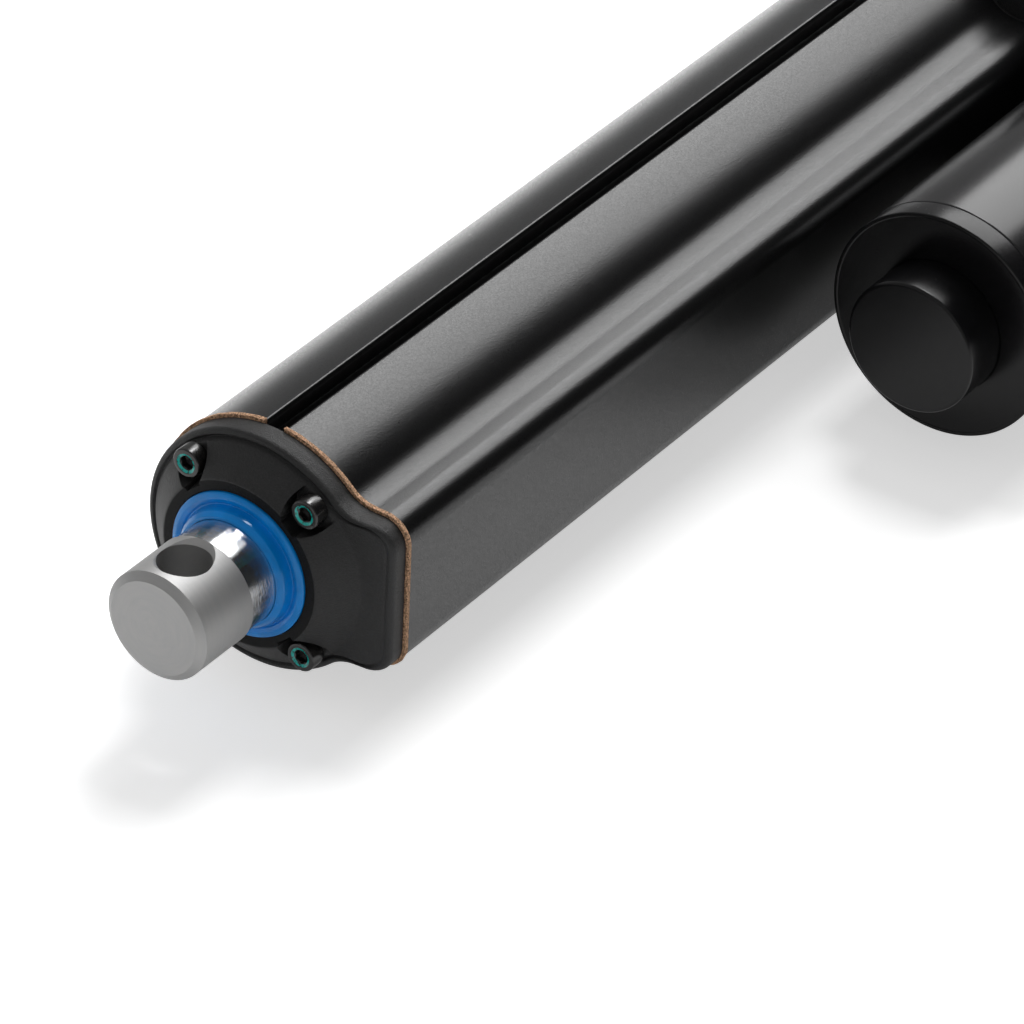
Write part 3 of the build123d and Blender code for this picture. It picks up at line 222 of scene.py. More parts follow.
class ActuatorColours(PropertyGroup):
    tube_black: FloatVectorProperty(
        name="Tube", description="Black of the anodised tube", subtype="COLOR", size=4, min=0, max=1,
        default=(0.005, 0.005, 0.0053, 1),
    )
    paint_black: FloatVectorProperty(
        name="Paint", description="Black of the painted castings", subtype="COLOR", size=4, min=0, max=1,
        default=(0.007, 0.007, 0.0073, 1),
    )
    wiper_blue: FloatVectorProperty(
        name="Wiper", description="Blue of the rod wiper", subtype="COLOR", size=4, min=0, max=1,
        default=(0.0, 0.255, 0.76, 1),
    )
    gasket_brown: FloatVectorProperty(
        name="Gasket", description="Brown of the cork gaskets", subtype="COLOR", size=4, min=0, max=1,
        default=(0.6, 0.36, 0.22, 1),
    )
    screw_dye: FloatVectorProperty(
        name="Screw dye", description="Green-blue dye in the screws' sockets", subtype="COLOR", size=4,
        min=0, max=1, default=(0.0, 0.5, 0.44, 1),
    )


# Materials


def tinted(colour, share):
    """A colour made lighter or darker: each part times the share, and never past 1."""
    return [min(1.0, part * share) for part in colour[:3]]


class Shading:
    """A material's node tree with short calls for the nodes that these finishes use."""

    def __init__(self, name):
        self.material = bpy.data.materials.new(name)
        self.material.use_nodes = True
        self.tree = self.material.node_tree
        self.shader = self.tree.nodes["Principled BSDF"]
        self.coords = None

    def put(self, socket, value):
        """Give an input socket its value, or link it where the value is another node's output."""
        if isinstance(value, bpy.types.NodeSocket):
            self.tree.links.new(value, socket)
        else:
            socket.default_value = value

    def set(self, **values):
        """Set or link the shader's own sockets; their names have underscores for spaces."""
        for name, value in values.items():
            self.put(self.shader.inputs[name.replace("_", " ").title().replace("Ior", "IOR")], value)
        return self

    def node(self, kind, inputs=None, **settings):
        """A new node with its settings and with its inputs, given by name or by number."""
        made = self.tree.nodes.new(kind)
        for name, value in settings.items():
            setattr(made, name, value)
        for name, value in (inputs or {}).items():
            self.put(made.inputs[name], value)
        return made

    def math(self, operation, *values):
        """The result of a Math node."""
        return self.node("ShaderNodeMath", dict(enumerate(values)), operation=operation).outputs[0]

    def place(self):
        """The Object coordinates of the piece."""
        if self.coords is None:
            self.coords = self.node("ShaderNodeTexCoord").outputs["Object"]
        return self.coords

    def noise(self, scale, detail=2.0, roughness=0.5, vector=None):
        """Noise with about scale grains to a metre."""
        inputs = {"Vector": vector or self.place(), "Scale": scale, "Detail": detail, "Roughness": roughness}
        return self.node("ShaderNodeTexNoise", inputs).outputs["Fac"]

    def cells(self, scale):
        """Distance to the nearest point of a field of cells, with about scale cells to a metre."""
        inputs = {"Vector": self.place(), "Scale": scale}
        return self.node("ShaderNodeTexVoronoi", inputs).outputs["Distance"]

    def turned_place(self, round_about):
        """Coordinates whose noise runs in rings about the rod's axis.

        They are x, the distance from the axis and a little of the angle about it.
        """
        split = self.node("ShaderNodeSeparateXYZ", {"Vector": self.place()})
        y, z = split.outputs["Y"], split.outputs["Z"]
        across = self.node("ShaderNodeCombineXYZ", {"Y": y, "Z": z}).outputs[0]
        radius = self.node("ShaderNodeVectorMath", {0: across}, operation="LENGTH").outputs["Value"]
        lean = self.math("MULTIPLY", self.math("ARCTAN2", z, y), round_about)
        rings = {"X": split.outputs["X"], "Y": radius, "Z": lean}
        return self.node("ShaderNodeCombineXYZ", rings).outputs[0]

    def ramp(self, factor, stops):
        """Colour stops [(position, colour)] over a factor."""
        made = self.node("ShaderNodeValToRGB", {"Fac": factor})
        bands = made.color_ramp.elements
        while len(bands) < len(stops):
            bands.new(0.5)
        for band, (position, colour) in zip(bands, stops):
            band.position = position
            band.color = (*colour[:3], 1)
        return made.outputs["Color"]

    def spread(self, value, low, high, start=0.0, end=1.0):
        """A value that runs from start to end, spread from low to high and held there beyond."""
        limits = {"Value": value, "From Min": start, "From Max": end, "To Min": low, "To Max": high}
        return self.node("ShaderNodeMapRange", limits).outputs["Result"]

    def mix(self, factor, first, second):
        """A colour between first and second, by the Mix node's sockets for colours."""
        return self.node("ShaderNodeMix", {0: factor, 6: first, 7: second}, data_type="RGBA").outputs[2]

    def bump(self, *heights):
        """Bumps of (height socket, distance in metres, strength), one on the other, in base and coat."""
        normal = None
        for height, distance, strength in heights:
            inputs = {"Height": height, "Distance": distance, "Strength": strength}
            if normal is not None:
                inputs["Normal"] = normal
            normal = self.node("ShaderNodeBump", inputs).outputs["Normal"]
        return self.set(normal=normal, coat_normal=normal)


def speckled(shading, colour, scale, share=0.35):
    """Colour varied a little from grain to grain, between darker and lighter than the one given."""
    stops = [(0.35, tinted(colour, 1 - share)), (0.65, tinted(colour, 1 + share))]
    return shading.ramp(shading.noise(scale, 3.0, 0.6), stops)


def anodised_black(sizes, colours):
    """Fine blasted and anodised aluminium: satin, with an even sparkle."""
    s = Shading("anodised_black").set(ior=1.5, specular_ior_level=0.1, coat_roughness=0.2, coat_ior=1.43)
    grain = s.noise(1 / sizes.grain, 2.0, 0.6)
    drawn = s.node("ShaderNodeMapping", {"Vector": s.place(), "Scale": (0.02, 1, 1)}).outputs[0]
    lines = s.noise(2600, 2.0, 0.5, drawn)
    s.set(
        base_color=speckled(s, colours.tube_black, 2500),
        roughness=s.spread(s.noise(2200, 2.0, 0.6), 0.2, 0.46),
        coat_weight=s.spread(s.noise(2300, 1.0), 0.72, 1.0, 0.38, 0.62),
    )
    return s.bump((grain, 0.00005, 0.7), (lines, 0.00001, 0.15)).material


def textured_paint(sizes, colours, dark_ring=None):
    """Powder paint on the castings, with a fine orange-peel grain.

    The attribute named in the last argument is 1 within the ring round the wiper, where the paint is made
    darker and duller.
    """
    s = Shading("textured_paint").set(ior=1.5, specular_ior_level=0.5)
    fine = s.noise(1 / sizes.paint_grain, 3.0, 0.6)
    coarse = s.noise(0.35 / sizes.paint_grain, 2.0, 0.5)
    colour = speckled(s, colours.paint_black, 2400, 0.6)
    roughness = s.spread(coarse, 0.4, 0.54)
    if dark_ring:
        cut = s.node("ShaderNodeAttribute", attribute_name=dark_ring).outputs["Fac"]
        colour = s.mix(cut, colour, [*tinted(colours.paint_black, 0.3), 1])
        roughness = s.spread(cut, roughness, 0.62)
        s.set(specular_ior_level=s.spread(cut, 0.5, 0.22))
    s.set(base_color=colour, roughness=roughness)
    return s.bump((coarse, 0.0001, 0.4), (fine, 0.0002, 1.0)).material


def cork_sheet(colours):
    """Cork and rubber sheet: brown granules of several tones with dark specks."""
    s = Shading("cork_sheet").set(specular_ior_level=0.25)
    tones = ((0.38, 0.1), (0.47, 0.7), (0.55, 1.0), (0.66, 1.7))
    stops = [(position, tinted(colours.gasket_brown, share)) for position, share in tones]
    granules = s.cells(2200)
    s.set(base_color=s.ramp(s.noise(2600, 4.0, 0.7), stops), roughness=s.spread(granules, 0.75, 0.95))
    return s.bump((granules, 0.00015, 0.8), (s.noise(5000, 2.0), 0.00005, 0.6)).material


def blue_polyurethane(colours):
    """Glossy moulded polyurethane, whose reflections are bluish under a clear coat."""
    s = Shading("blue_polyurethane").set(ior=1.5, specular_ior_level=0.25, specular_tint=(0.0, 0.5, 1, 1))
    blue = colours.wiper_blue
    s.set(
        base_color=s.ramp(s.noise(120, 2.0), [(0.35, tinted(blue, 0.88)), (0.65, tinted(blue, 1.1))]),
        roughness=s.spread(s.noise(900, 2.0), 0.12, 0.22),
        coat_weight=0.6,
        coat_roughness=0.1,
    )
    return s.bump((s.noise(400, 2.0), 0.00004, 0.2)).material


def polished_chrome():
    """Hard chrome on the rod, with faint rings from polishing."""
    s = Shading("polished_chrome").set(metallic=1.0)
    rings = s.noise(5200, 3.0, 0.6, s.turned_place(0.0004))
    s.set(
        base_color=s.ramp(rings, [(0.3, (0.72, 0.73, 0.75)), (0.7, (0.84, 0.85, 0.86))]),
        roughness=s.spread(rings, 0.08, 0.2),
    )
    return s.bump((rings, 0.00006, 0.8)).material


def turned_steel():
    """Stainless steel straight from the lathe: satin, with fine rings round its axis."""
    s = Shading("turned_steel").set(metallic=1.0)
    rings = s.noise(7000, 3.0, 0.65, s.turned_place(0.0006))
    wide = s.noise(900, 2.0, 0.5, s.turned_place(0.0015))
    s.set(
        base_color=s.ramp(wide, [(0.3, (0.441, 0.441, 0.441)), (0.7, (0.4635, 0.459, 0.4545))]),
        roughness=s.spread(rings, 0.52, 0.66),
    )
    return s.bump((rings, 0.00004, 0.4)).material


def black_oxide():
    """Blackened alloy steel of the socket screws, slightly worn."""
    s = Shading("black_oxide").set(metallic=0.6)
    worn = [(0.4, (0.012, 0.012, 0.013)), (0.75, (0.05, 0.048, 0.045))]
    s.set(
        base_color=s.ramp(s.noise(700, 4.0, 0.6), worn),
        roughness=s.spread(s.noise(1500, 3.0), 0.25, 0.45),
    )
    return s.bump((s.noise(3000, 2.0), 0.00002, 0.4)).material


def dyed_oxide(colours, top):
    """Black oxide with green-blue dye left round the sockets of screws whose heads end at station top.

    The attribute axis_distance is each point's distance from its screw's axis. The dye is a ring between two
    distances and down to a depth below the top, fades over a short way at each and is broken up by noise.
    """
    s = Shading("dyed_oxide").set(specular_ior_level=0.7)
    away = s.node("ShaderNodeAttribute", attribute_name="axis_distance").outputs["Fac"]
    station = s.node("ShaderNodeSeparateXYZ", {"Vector": s.place()}).outputs["X"]
    depth = [top - end for end in DYE_DEPTH]
    share = s.ramp(s.noise(1100, 3.0, 0.65), [(0.4, (0.1, 0.1, 0.1)), (0.5, (1, 1, 1))])
    for value, (start, end) in ((away, DYE_INNER), (away, DYE_OUTER), (station, depth)):
        share = s.math("MULTIPLY", share, s.spread(value, 0, 1, start * MM, end * MM))
    worn = s.ramp(s.noise(900, 4.0, 0.6), [(0.4, (0.004, 0.004, 0.0045)), (0.75, (0.025, 0.023, 0.021))])
    s.set(
        base_color=s.mix(share, worn, colours.screw_dye),
        roughness=s.spread(s.noise(1500, 3.0), 0.16, 0.3),
    )
    return s.bump((s.noise(3000, 2.0), 0.00002, 0.4)).material


def satin_plastic(name, tone, low, high, grain=0.3, shine=0.5):
    """Moulded plastic or smooth paint with a faint skin."""
    s = Shading(name).set(ior=1.5, specular_ior_level=shine)
    s.set(
        base_color=s.ramp(s.noise(300, 2.0), [(0.3, tinted(tone, 0.85)), (0.7, tinted(tone, 1.15))]),
        roughness=s.spread(s.noise(1200, 3.0), low, high),
    )
    return s.bump((s.noise(2400, 2.0), 0.00002, grain)).material


def machined(name, tone, low=0.25, high=0.45):
    """Cut metal with an uneven satin."""
    s = Shading(name).set(metallic=1.0)
    s.set(
        base_color=s.ramp(s.noise(500, 3.0), [(0.3, tinted(tone, 0.85)), (0.7, tinted(tone, 1.1))]),
        roughness=s.spread(s.noise(2500, 3.0), low, high),
    )
    return s.bump((s.noise(4000, 2.0), 0.00001, 0.3)).material


# Stage


def photo_camera():
    """The camera, placed from the photograph."""
    data = bpy.data.cameras.new("photo_camera")
    data.sensor_width = SENSOR_WIDTH
    data.lens = FOCAL_PIXELS / PHOTO_PIXELS * SENSOR_WIDTH
    data.clip_end = 20
    camera = bpy.data.objects.new("photo_camera", data)
    bpy.context.scene.collection.objects.link(camera)
    matrix = Matrix.Identity(4)
    matrix.col[0][:3] = CAMERA_RIGHT
    matrix.col[1][:3] = [-part for part in CAMERA_DOWN]
    matrix.col[2][:3] = [-part for part in CAMERA_FORWARD]
    matrix.col[3][:3] = CAMERA_PLACE
    camera.matrix_world = matrix
    bpy.context.scene.camera = camera


def soft_box(name, centre, target, width, height, power):
    """A rectangular lamp at centre that faces target."""
    data = bpy.data.lights.new(name, "AREA")
    data.shape = "RECTANGLE"
    data.size = width
    data.size_y = height
    data.energy = power
    lamp = bpy.data.objects.new(name, data)
    bpy.context.scene.collection.objects.link(lamp)
    lamp.location = centre
    lamp.rotation_euler = (Vector(target) - Vector(centre)).to_track_quat("-Z", "Y").to_euler()


def dim_corner(tree):
    """A grey room whose corner behind the motor is darker: strength falls with the angle to that corner."""
    background = tree.nodes["Background"]
    background.inputs["Color"].default_value = (1, 1, 1, 1)
    toward = tree.nodes.new("ShaderNodeVectorMath")
    toward.operation = "DOT_PRODUCT"
    toward.inputs[1].default_value = Vector(DARK_CORNER).normalized()
    tree.links.new(tree.nodes.new("ShaderNodeTexCoord").outputs["Generated"], toward.inputs[0])
    level = tree.nodes.new("ShaderNodeMapRange")
    level.interpolation_type = "SMOOTHSTEP"
    limits = (*DARK_CORNER_COSINES, ROOM_LIGHT, CORNER_LIGHT)
    for name, value in zip(("From Min", "From Max", "To Min", "To Max"), limits):
        level.inputs[name].default_value = value
    tree.links.new(toward.outputs["Value"], level.inputs["Value"])
    tree.links.new(level.outputs["Result"], background.inputs["Strength"])


def pale_floor():
    """A flat white floor: rings of places round a middle under the part, at distances out to 4 m.

    It glows a little for the camera and for reflections, so it stays pale and keeps the part's shadow.
    """
    s = Shading("white_floor").set(roughness=0.9, specular_ior_level=0.0, base_color=(0.93, 0.93, 0.93, 1))
    path = s.node("ShaderNodeLightPath").outputs
    seen = s.math("MULTIPLY", path["Is Camera Ray"], FLOOR_GLOW_SEEN)
    mirrored = s.math("MAXIMUM", path["Is Glossy Ray"], path["Is Transmission Ray"])
    glow = s.math("MULTIPLY_ADD", mirrored, FLOOR_GLOW_MIRRORED, seen)
    s.set(emission_color=(1, 1, 1, 1), emission_strength=glow)
    steps = 96
    reach = np.array([0.0, 0.5, 1.0, 2.0, 4.0])[:, None]
    turn = np.arange(steps) * 2 * pi / steps
    height = np.full((len(reach), steps), FLOOR_HEIGHT)
    rings = np.stack([FLOOR_MIDDLE + reach * np.cos(turn), reach * np.sin(turn), height], -1)
    mesh = joined_mesh("white_floor", [grid(rings, close_v=True)])
    floor = bpy.data.objects.new("white_floor", mesh)
    bpy.context.scene.collection.objects.link(floor)
    mesh.materials.append(s.material)


# Surfaces


def grid(points, close_u=False, close_v=False):
    """Points [i, j] and the four-sided faces between neighbours, joined round where close is set."""
    rows, columns = points.shape[:2]
    last_row, last_column = rows - (not close_u), columns - (not close_v)
    i, j = np.meshgrid(np.arange(last_row), np.arange(last_column), indexing="ij")
    i2, j2 = (i + 1) % rows, (j + 1) % columns
    faces = np.stack([i * columns + j, i2 * columns + j, i2 * columns + j2, i * columns + j2], -1)
    return points.reshape(-1, 3), faces.reshape(-1, 4)


def joined_mesh(name, surfaces, sharp=32):
    """One mesh of several surfaces in metres, with doubles merged and faces outwards.

    It is smooth but for edges whose faces turn by more than sharp degrees.
    """
    mesh = bpy.data.meshes.new(name)
    points = np.concatenate([points for points, _ in surfaces])
    starts = np.cumsum([0] + [len(points) for points, _ in surfaces])
    faces = []
    for (_, part), start in zip(surfaces, starts):
        faces += (np.asarray(part) + start).tolist()
    mesh.from_pydata(points.tolist(), [], faces)
    work = bmesh.new()
    work.from_mesh(mesh)
    bmesh.ops.remove_doubles(work, verts=work.verts, dist=0.0015 * MM)
    bmesh.ops.dissolve_degenerate(work, edges=work.edges, dist=0.0005 * MM)
    bmesh.ops.recalc_face_normals(work, faces=work.faces)
    work.to_mesh(mesh)
    work.free()
    mesh.shade_smooth()
    mesh.set_sharp_from_angle(angle=radians(sharp))
    return mesh


def polar(angle, radius=1.0, centre=(0.0, 0.0)):
    """Points (y, z) at angles from +Y towards +Z about a centre."""
    return np.stack([centre[0] + radius * np.cos(angle), centre[1] + radius * np.sin(angle)], -1)


def full_turn(columns):
    """Even angles over a full turn, the last one short of the first."""
    return np.arange(columns) * 2 * pi / columns


def rounded(corners, radii, steps=EDGE_STEPS):
    """Corners with each one replaced by an arc that touches both of its sides.

    Along the arc the point is the centre plus the two touching radii, weighted by sin((1 - t) w) / sin w and
    sin(t w) / sin w, where w is the angle between them. Returns [corner, step].
    """
    corner, radius = np.asarray(corners, float), np.asarray(radii, float)
    back = np.roll(corner, 1, 0) - corner
    ahead = np.roll(corner, -1, 0) - corner
    back /= np.linalg.norm(back, axis=1, keepdims=True)
    ahead /= np.linalg.norm(ahead, axis=1, keepdims=True)
    half = np.arccos(np.clip((back * ahead).sum(1), -1, 1)) / 2
    middle = (back + ahead) / np.linalg.norm(back + ahead, axis=1, keepdims=True)
    centre = corner + middle * (radius / np.sin(half))[:, None]
    start = corner + back * (radius / np.tan(half))[:, None] - centre
    end = corner + ahead * (radius / np.tan(half))[:, None] - centre
    span = (pi - 2 * half)[:, None]
    t = np.linspace(0, 1, steps)
    leave, reach = np.sin((1 - t) * span) / np.sin(span), np.sin(t * span) / np.sin(span)
    return centre[:, None] + leave[..., None] * start[:, None] + reach[..., None] * end[:, None]


def body_outline(grow, top_angle=pi / 2):
    """The tube's outer form, from top_angle on the round over the +Y side and back up the -Y side.

    A circle runs into a valley arc that touches it and the block's top, then come the block's rounded
    corners, and the same mirrored below.
    """
    radius, face, half = TUBE_RADIUS + grow, BLOCK_FACE + grow, BLOCK_HALF + grow
    corner, valley = BLOCK_CORNER + grow, BLOCK_VALLEY - grow
    valley_z = half + valley
    valley_y = sqrt((radius + valley) ** 2 - valley_z**2)
    touch = np.arctan2(valley_z, valley_y)
    up_the_far_side = np.linspace(-touch, -pi - top_angle, FAR_SIDE_STEPS)[1:]
    return np.concatenate(
        [
            polar(np.linspace(top_angle, touch, TOP_STEPS, endpoint=False), radius),
            polar(np.linspace(touch + pi, 1.5 * pi, CORNER_STEPS), valley, (valley_y, valley_z)),
            polar(np.linspace(pi / 2, 0, CORNER_STEPS), corner, (face - corner, half - corner)),
            polar(np.linspace(0, -pi / 2, CORNER_STEPS), corner, (face - corner, corner - half)),
            polar(np.linspace(pi / 2, pi - touch, CORNER_STEPS), valley, (valley_y, -valley_z)),
            polar(up_the_far_side, radius),
        ]
    )


def body_with_slot(grow, wall, radii):
    """The tube's outer form with a slot in its top, of corners (y, z) and radii down its +Y wall."""
    top_angle = np.arctan2(wall[0][1], wall[0][0]) - SLOT_EASE_ANGLE
    outer = body_outline(grow, top_angle)
    mirrored = [(-y, z) for y, z in reversed(wall)]
    corners = np.concatenate([outer[:1], wall, mirrored, outer[-1:]])
    slot = rounded(corners, [1e-6, *radii, *reversed(radii), 1e-6])[1:-1].reshape(-1, 2)
    return np.concatenate([outer, slot[::-1]])


def cavity_loop():
    """The tube's main cavity: along each ray, the nearest of its circle, the screw bosses and the slot."""
    ray = polar(full_turn(CAVITY_STEPS))
    reach = np.full(CAVITY_STEPS, CAVITY_RADIUS)
    for centre in COVER_SCREWS:
        along = ray @ np.array(centre)
        aside = ray[:, 0] * centre[1] - ray[:, 1] * centre[0]
        inside = np.clip(BOSS_RADIUS**2 - aside**2, 0, None)
        reach = np.where((inside > 0) & (along > 0), np.minimum(reach, along - np.sqrt(inside)), reach)
    floor = SLOT_BOTTOM - SLOT_FLOOR
    rise = np.clip(ray[:, 1], 1e-6, None)
    under = (ray[:, 1] > 0) & (np.abs(ray[:, 0] * floor / rise) < SLOT_HALF_WIDTH + SLOT_FLOOR)
    reach = np.where(under, np.minimum(reach, floor / rise), reach)
    return ray * reach[:, None]


def channel_loop():
    """The tube's small channel: a rectangle with rounded corners."""
    (low_y, low_z), (high_y, high_z) = CHANNEL
    corners = [(low_y, low_z), (high_y, low_z), (high_y, high_z), (low_y, high_z)]
    return rounded(corners, [CHANNEL_CORNER] * 4).reshape(-1, 2)


def walls(loop, stations, ripple=None):
    """A loop of (y, z) points carried along X through the stations.

    Ripple is how far each [station, point] is moved outwards.
    """
    stations = np.asarray(stations, float)
    loops = np.repeat(loop[None], len(stations), 0)
    if ripple is not None:
        along = np.roll(loop, -1, 0) - np.roll(loop, 1, 0)
        out = np.stack([-along[:, 1], along[:, 0]], -1)
        out /= np.maximum(np.linalg.norm(out, axis=1, keepdims=True), 1e-9)
        loops = loops + ripple[..., None] * out
    x = np.repeat(stations[:, None], len(loop), 1)
    return grid(np.concatenate([x[..., None], loops], -1), close_v=True)


def lid(loops, x):
    """The flat face inside the first loop and outside the others, at station x."""
    points = np.concatenate(loops)
    faces = tessellate_polygon([[Vector((0, y, z)) for y, z in loop] for loop in loops])
    return np.concatenate([np.full((len(points), 1), x), points], 1), [list(face) for face in faces]


def lathe(profile, centre=(0.0, 0.0), columns=TURNED_COLUMNS, turn=0.0):
    """A profile of (x, radius) points turned about a line along X: y + r cos a, z + r sin a in a full turn.

    A radius may be a row of one radius for each column, where the section isn't round.
    """
    x = np.array([row[0] for row in profile], float)
    radius = np.array([np.broadcast_to(row[1], columns) for row in profile], float)
    places = polar(turn + full_turn(columns), radius, centre)
    return grid(np.concatenate([np.repeat(x[:, None], columns, 1)[..., None], places], -1), close_v=True)


def soft_profile(corners, steps=6):
    """A closed profile of (x, radius) with its corners rounded; each corner is (x, radius, rounding)."""
    table = np.array(corners, float)
    arcs = rounded(table[:, :2], np.maximum(table[:, 2], 1e-6), steps)
    return np.concatenate([arcs.reshape(-1, 2), arcs[:1, 0]])


def piece(name, surfaces, material, node, sharp=32):
    """Make one object of surfaces given in millimetres, which stands for a node of the housing."""
    mesh = joined_mesh(name, [(points * MM, faces) for points, faces in surfaces], sharp)
    made = bpy.data.objects.new(name, mesh)
    bpy.context.scene.collection.objects.link(made)
    mesh.materials.append(material)
    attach(made, "housing")
    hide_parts(node)
    return made


def mark_points(made, name, value_at):
    """Give a piece a point attribute, worked out from its points in metres."""
    points = np.empty((len(made.data.vertices), 3), np.float32)
    made.data.vertices.foreach_get("co", points.ravel())
    attribute = made.data.attributes.new(name, "FLOAT", "POINT")
    attribute.data.foreach_set("value", value_at(points).astype(np.float32))


def smooth_low(first, second, blend):
    """The lower of two heights, rounded over where they cross.

    It is their mean less half the root of the square of their difference and of the blend.
    """
    return (first + second - np.sqrt((first - second) ** 2 + blend**2)) / 2


def smooth_high(first, second, blend):
    """The higher of two heights, rounded where they cross."""
    return -smooth_low(-first, -second, blend)


def smooth_step(value, start, end):
    """A share that rises from 0 at start to 1 at end, as 3 t squared less 2 t cubed."""
    t = np.clip((value - start) / (end - start), 0, 1)
    return t * t * (3 - 2 * t)


def dip(distance, width):
    """A bell of height 1 at the distance 0: e to the minus square of distance over width."""
    return np.exp(-((distance / width) ** 2))


# Operators


class ACTUATOR_OT_stage(Operator):
    """Make the camera, the lamps, the world and the floor"""

    bl_idname = "actuator.stage"
    bl_label = "Stage"

    def execute(self, context):
        scene = context.scene
        scene.view_settings.view_transform = "Standard"
        world = bpy.data.worlds.new("studio")
        world.use_nodes = True
        dim_corner(world.node_tree)
        scene.world = world
        photo_camera()
        pale_floor()
        soft_box("top_box", **TOP_BOX)
        soft_box("high_box", **HIGH_BOX)
        return {"FINISHED"}


class ACTUATOR_OT_finishes(Operator):
    """Give every node of the model its finish"""

    bl_idname = "actuator.finishes"
    bl_label = "Finishes"

    def execute(self, context):
        sizes, colours = context.scene.actuator_sizes, context.scene.actuator_colours
        paint = textured_paint(sizes, colours)
        steel = machined("machined_steel", (0.5, 0.5, 0.52))
        oxide = black_oxide()
        moulded = satin_plastic("black_moulding", (0.008, 0.008, 0.009), 0.25, 0.36)
        finishes = {
            anodised_black(sizes, colours): ["profile_tube"],
            paint: ["front_cover", "gear_housing_front", "gear_housing_rear"],
            cork_sheet(colours): ["front_gasket", "rear_gasket", "housing_gasket"],
            blue_polyurethane(colours): ["rod_wiper"],
            polished_chrome(): ["push_tube"],
            turned_steel(): ["rod_end"],
            oxide: ["front_cover_screws", "rear_tube_screws", "housing_screws", "motor_bolts"],
            steel: [
                "rear_eye_bush", "bearing_circlip", "screw_bearing_outer", "screw_bearing_balls",
                "screw_bearing_inner", "screw_lock_nut", "idler_axle", "motor_drive_bearing",
                "guide_ring_clip", "tip_guide_clip", "gear_key", "gear_spacer", "lead_screw", "output_gear",
                "idler_gear", "idler_pinion", "armature_shaft", "motor_pinion",
            ],
            machined("bronze", (0.6, 0.4, 0.2)): ["rod_guide_bush", "drive_nut", "motor_cap_bush"],
            satin_plastic("seal_rubber", (0.012, 0.012, 0.012), 0.5, 0.65): ["rod_seal", "motor_seal"],
            satin_plastic("motor_paint", (0.014, 0.014, 0.015), 0.2, 0.28, 0.12): ["motor_tube"],
            moulded: ["motor_end_cap", "motor_cap_plug", "power_socket", "brush_holder", "limit_sensors"],
            satin_plastic("pale_acetal", (0.62, 0.61, 0.56), 0.35, 0.5): ["guide_ring", "tip_guide"],
            satin_plastic("ferrite", (0.03, 0.03, 0.032), 0.55, 0.7): [
                "sensor_magnets", "motor_magnets", "brushes",
            ],
            machined("core_steel", (0.3, 0.3, 0.31), 0.4, 0.6): ["armature_core"],
            machined("copper", (0.7, 0.34, 0.17)): ["armature_windings", "commutator"],
            satin_plastic("board_green", (0.01, 0.09, 0.03), 0.3, 0.45): ["sensor_board"],
            machined("gold_plate", (0.83, 0.6, 0.25)): ["socket_contacts"],
        }
        left = set(NODES)
        for material, names in finishes.items():
            for name in names:
                node = NODES[name]
                node.data.materials.clear()
                node.data.materials.append(material)
                left.discard(name)
        if left:
            raise ValueError(f"no finish for {sorted(left)}")
        return {"FINISHED"}


class ACTUATOR_OT_tube(Operator):
    """Make the extruded tube: its section carried along X, with eased edges at the slot"""

    bl_idname = "actuator.tube"
    bl_label = "Tube"

    def execute(self, context):
        sizes, colours = context.scene.actuator_sizes, context.scene.actuator_colours
        mouth = sizes.slot_mouth / MM / 2
        edge_z, lip_z = sqrt(TUBE_RADIUS**2 - mouth**2), TUBE_RADIUS - SLOT_LIP
        wall = [(mouth, edge_z), (mouth, lip_z), (SLOT_HALF_WIDTH, lip_z), (SLOT_HALF_WIDTH, SLOT_BOTTOM)]
        loops = [body_with_slot(0.0, wall, SLOT_EDGES), cavity_loop(), channel_loop()]
        ends = (TUBE_LOW[0], TUBE_HIGH[0])
        surfaces = [walls(loop, ends) for loop in loops] + [lid(loops, x) for x in ends]
        piece("tube", surfaces, anodised_black(sizes, colours), "profile_tube")
        return {"FINISHED"}


class ACTUATOR_OT_gaskets(Operator):
    """Make the gaskets at both ends of the tube, whose cut edges are a little uneven"""

    bl_idname = "actuator.gaskets"
    bl_label = "Tube gaskets"

    def execute(self, context):
        mouth = context.scene.actuator_sizes.slot_mouth / MM / 2
        edge_z = sqrt((TUBE_RADIUS + GASKET_OVERHANG) ** 2 - mouth**2)
        outer = body_with_slot(GASKET_OVERHANG, [(mouth, edge_z), (mouth, SLOT_BOTTOM)], GASKET_NOTCH_EDGES)
        inner = [cavity_loop(), channel_loop()]
        cork = cork_sheet(context.scene.actuator_colours)
        # The rear gasket is coloured near black, unlike the cork front one
        dark = satin_plastic("dark_gasket", (0.012, 0.012, 0.012), 0.7, 0.85)
        sheets = (("front_gasket", cork, 0.0), ("rear_gasket", dark, REAR_GASKET_RECESS))
        for seed, (node, finish, recess) in enumerate(sheets):
            low, high = box_mm(node)
            ends = (low[0], high[0])
            chance = np.random.default_rng(seed)
            ripple = chance.normal(0, GASKET_RIPPLE, (GASKET_STATIONS, len(outer)))
            ripple = (ripple + np.roll(ripple, 1, 1) + np.roll(ripple, -1, 1)) / 2 - GASKET_SHRINK
            ripple[[0, -1]] = ripple[[1, -2]] - GASKET_RIPPLE
            edge = walls(outer, np.linspace(*ends, GASKET_STATIONS), ripple - recess)
            rims = edge[0].reshape(GASKET_STATIONS, -1, 3)[[0, -1], :, 1:]
            surfaces = [edge] + [walls(loop, ends) for loop in inner]
            surfaces += [lid([rim, *inner], x) for rim, x in zip(rims, ends)]
            piece(node + "_sheet", surfaces, finish, node)
        return {"FINISHED"}


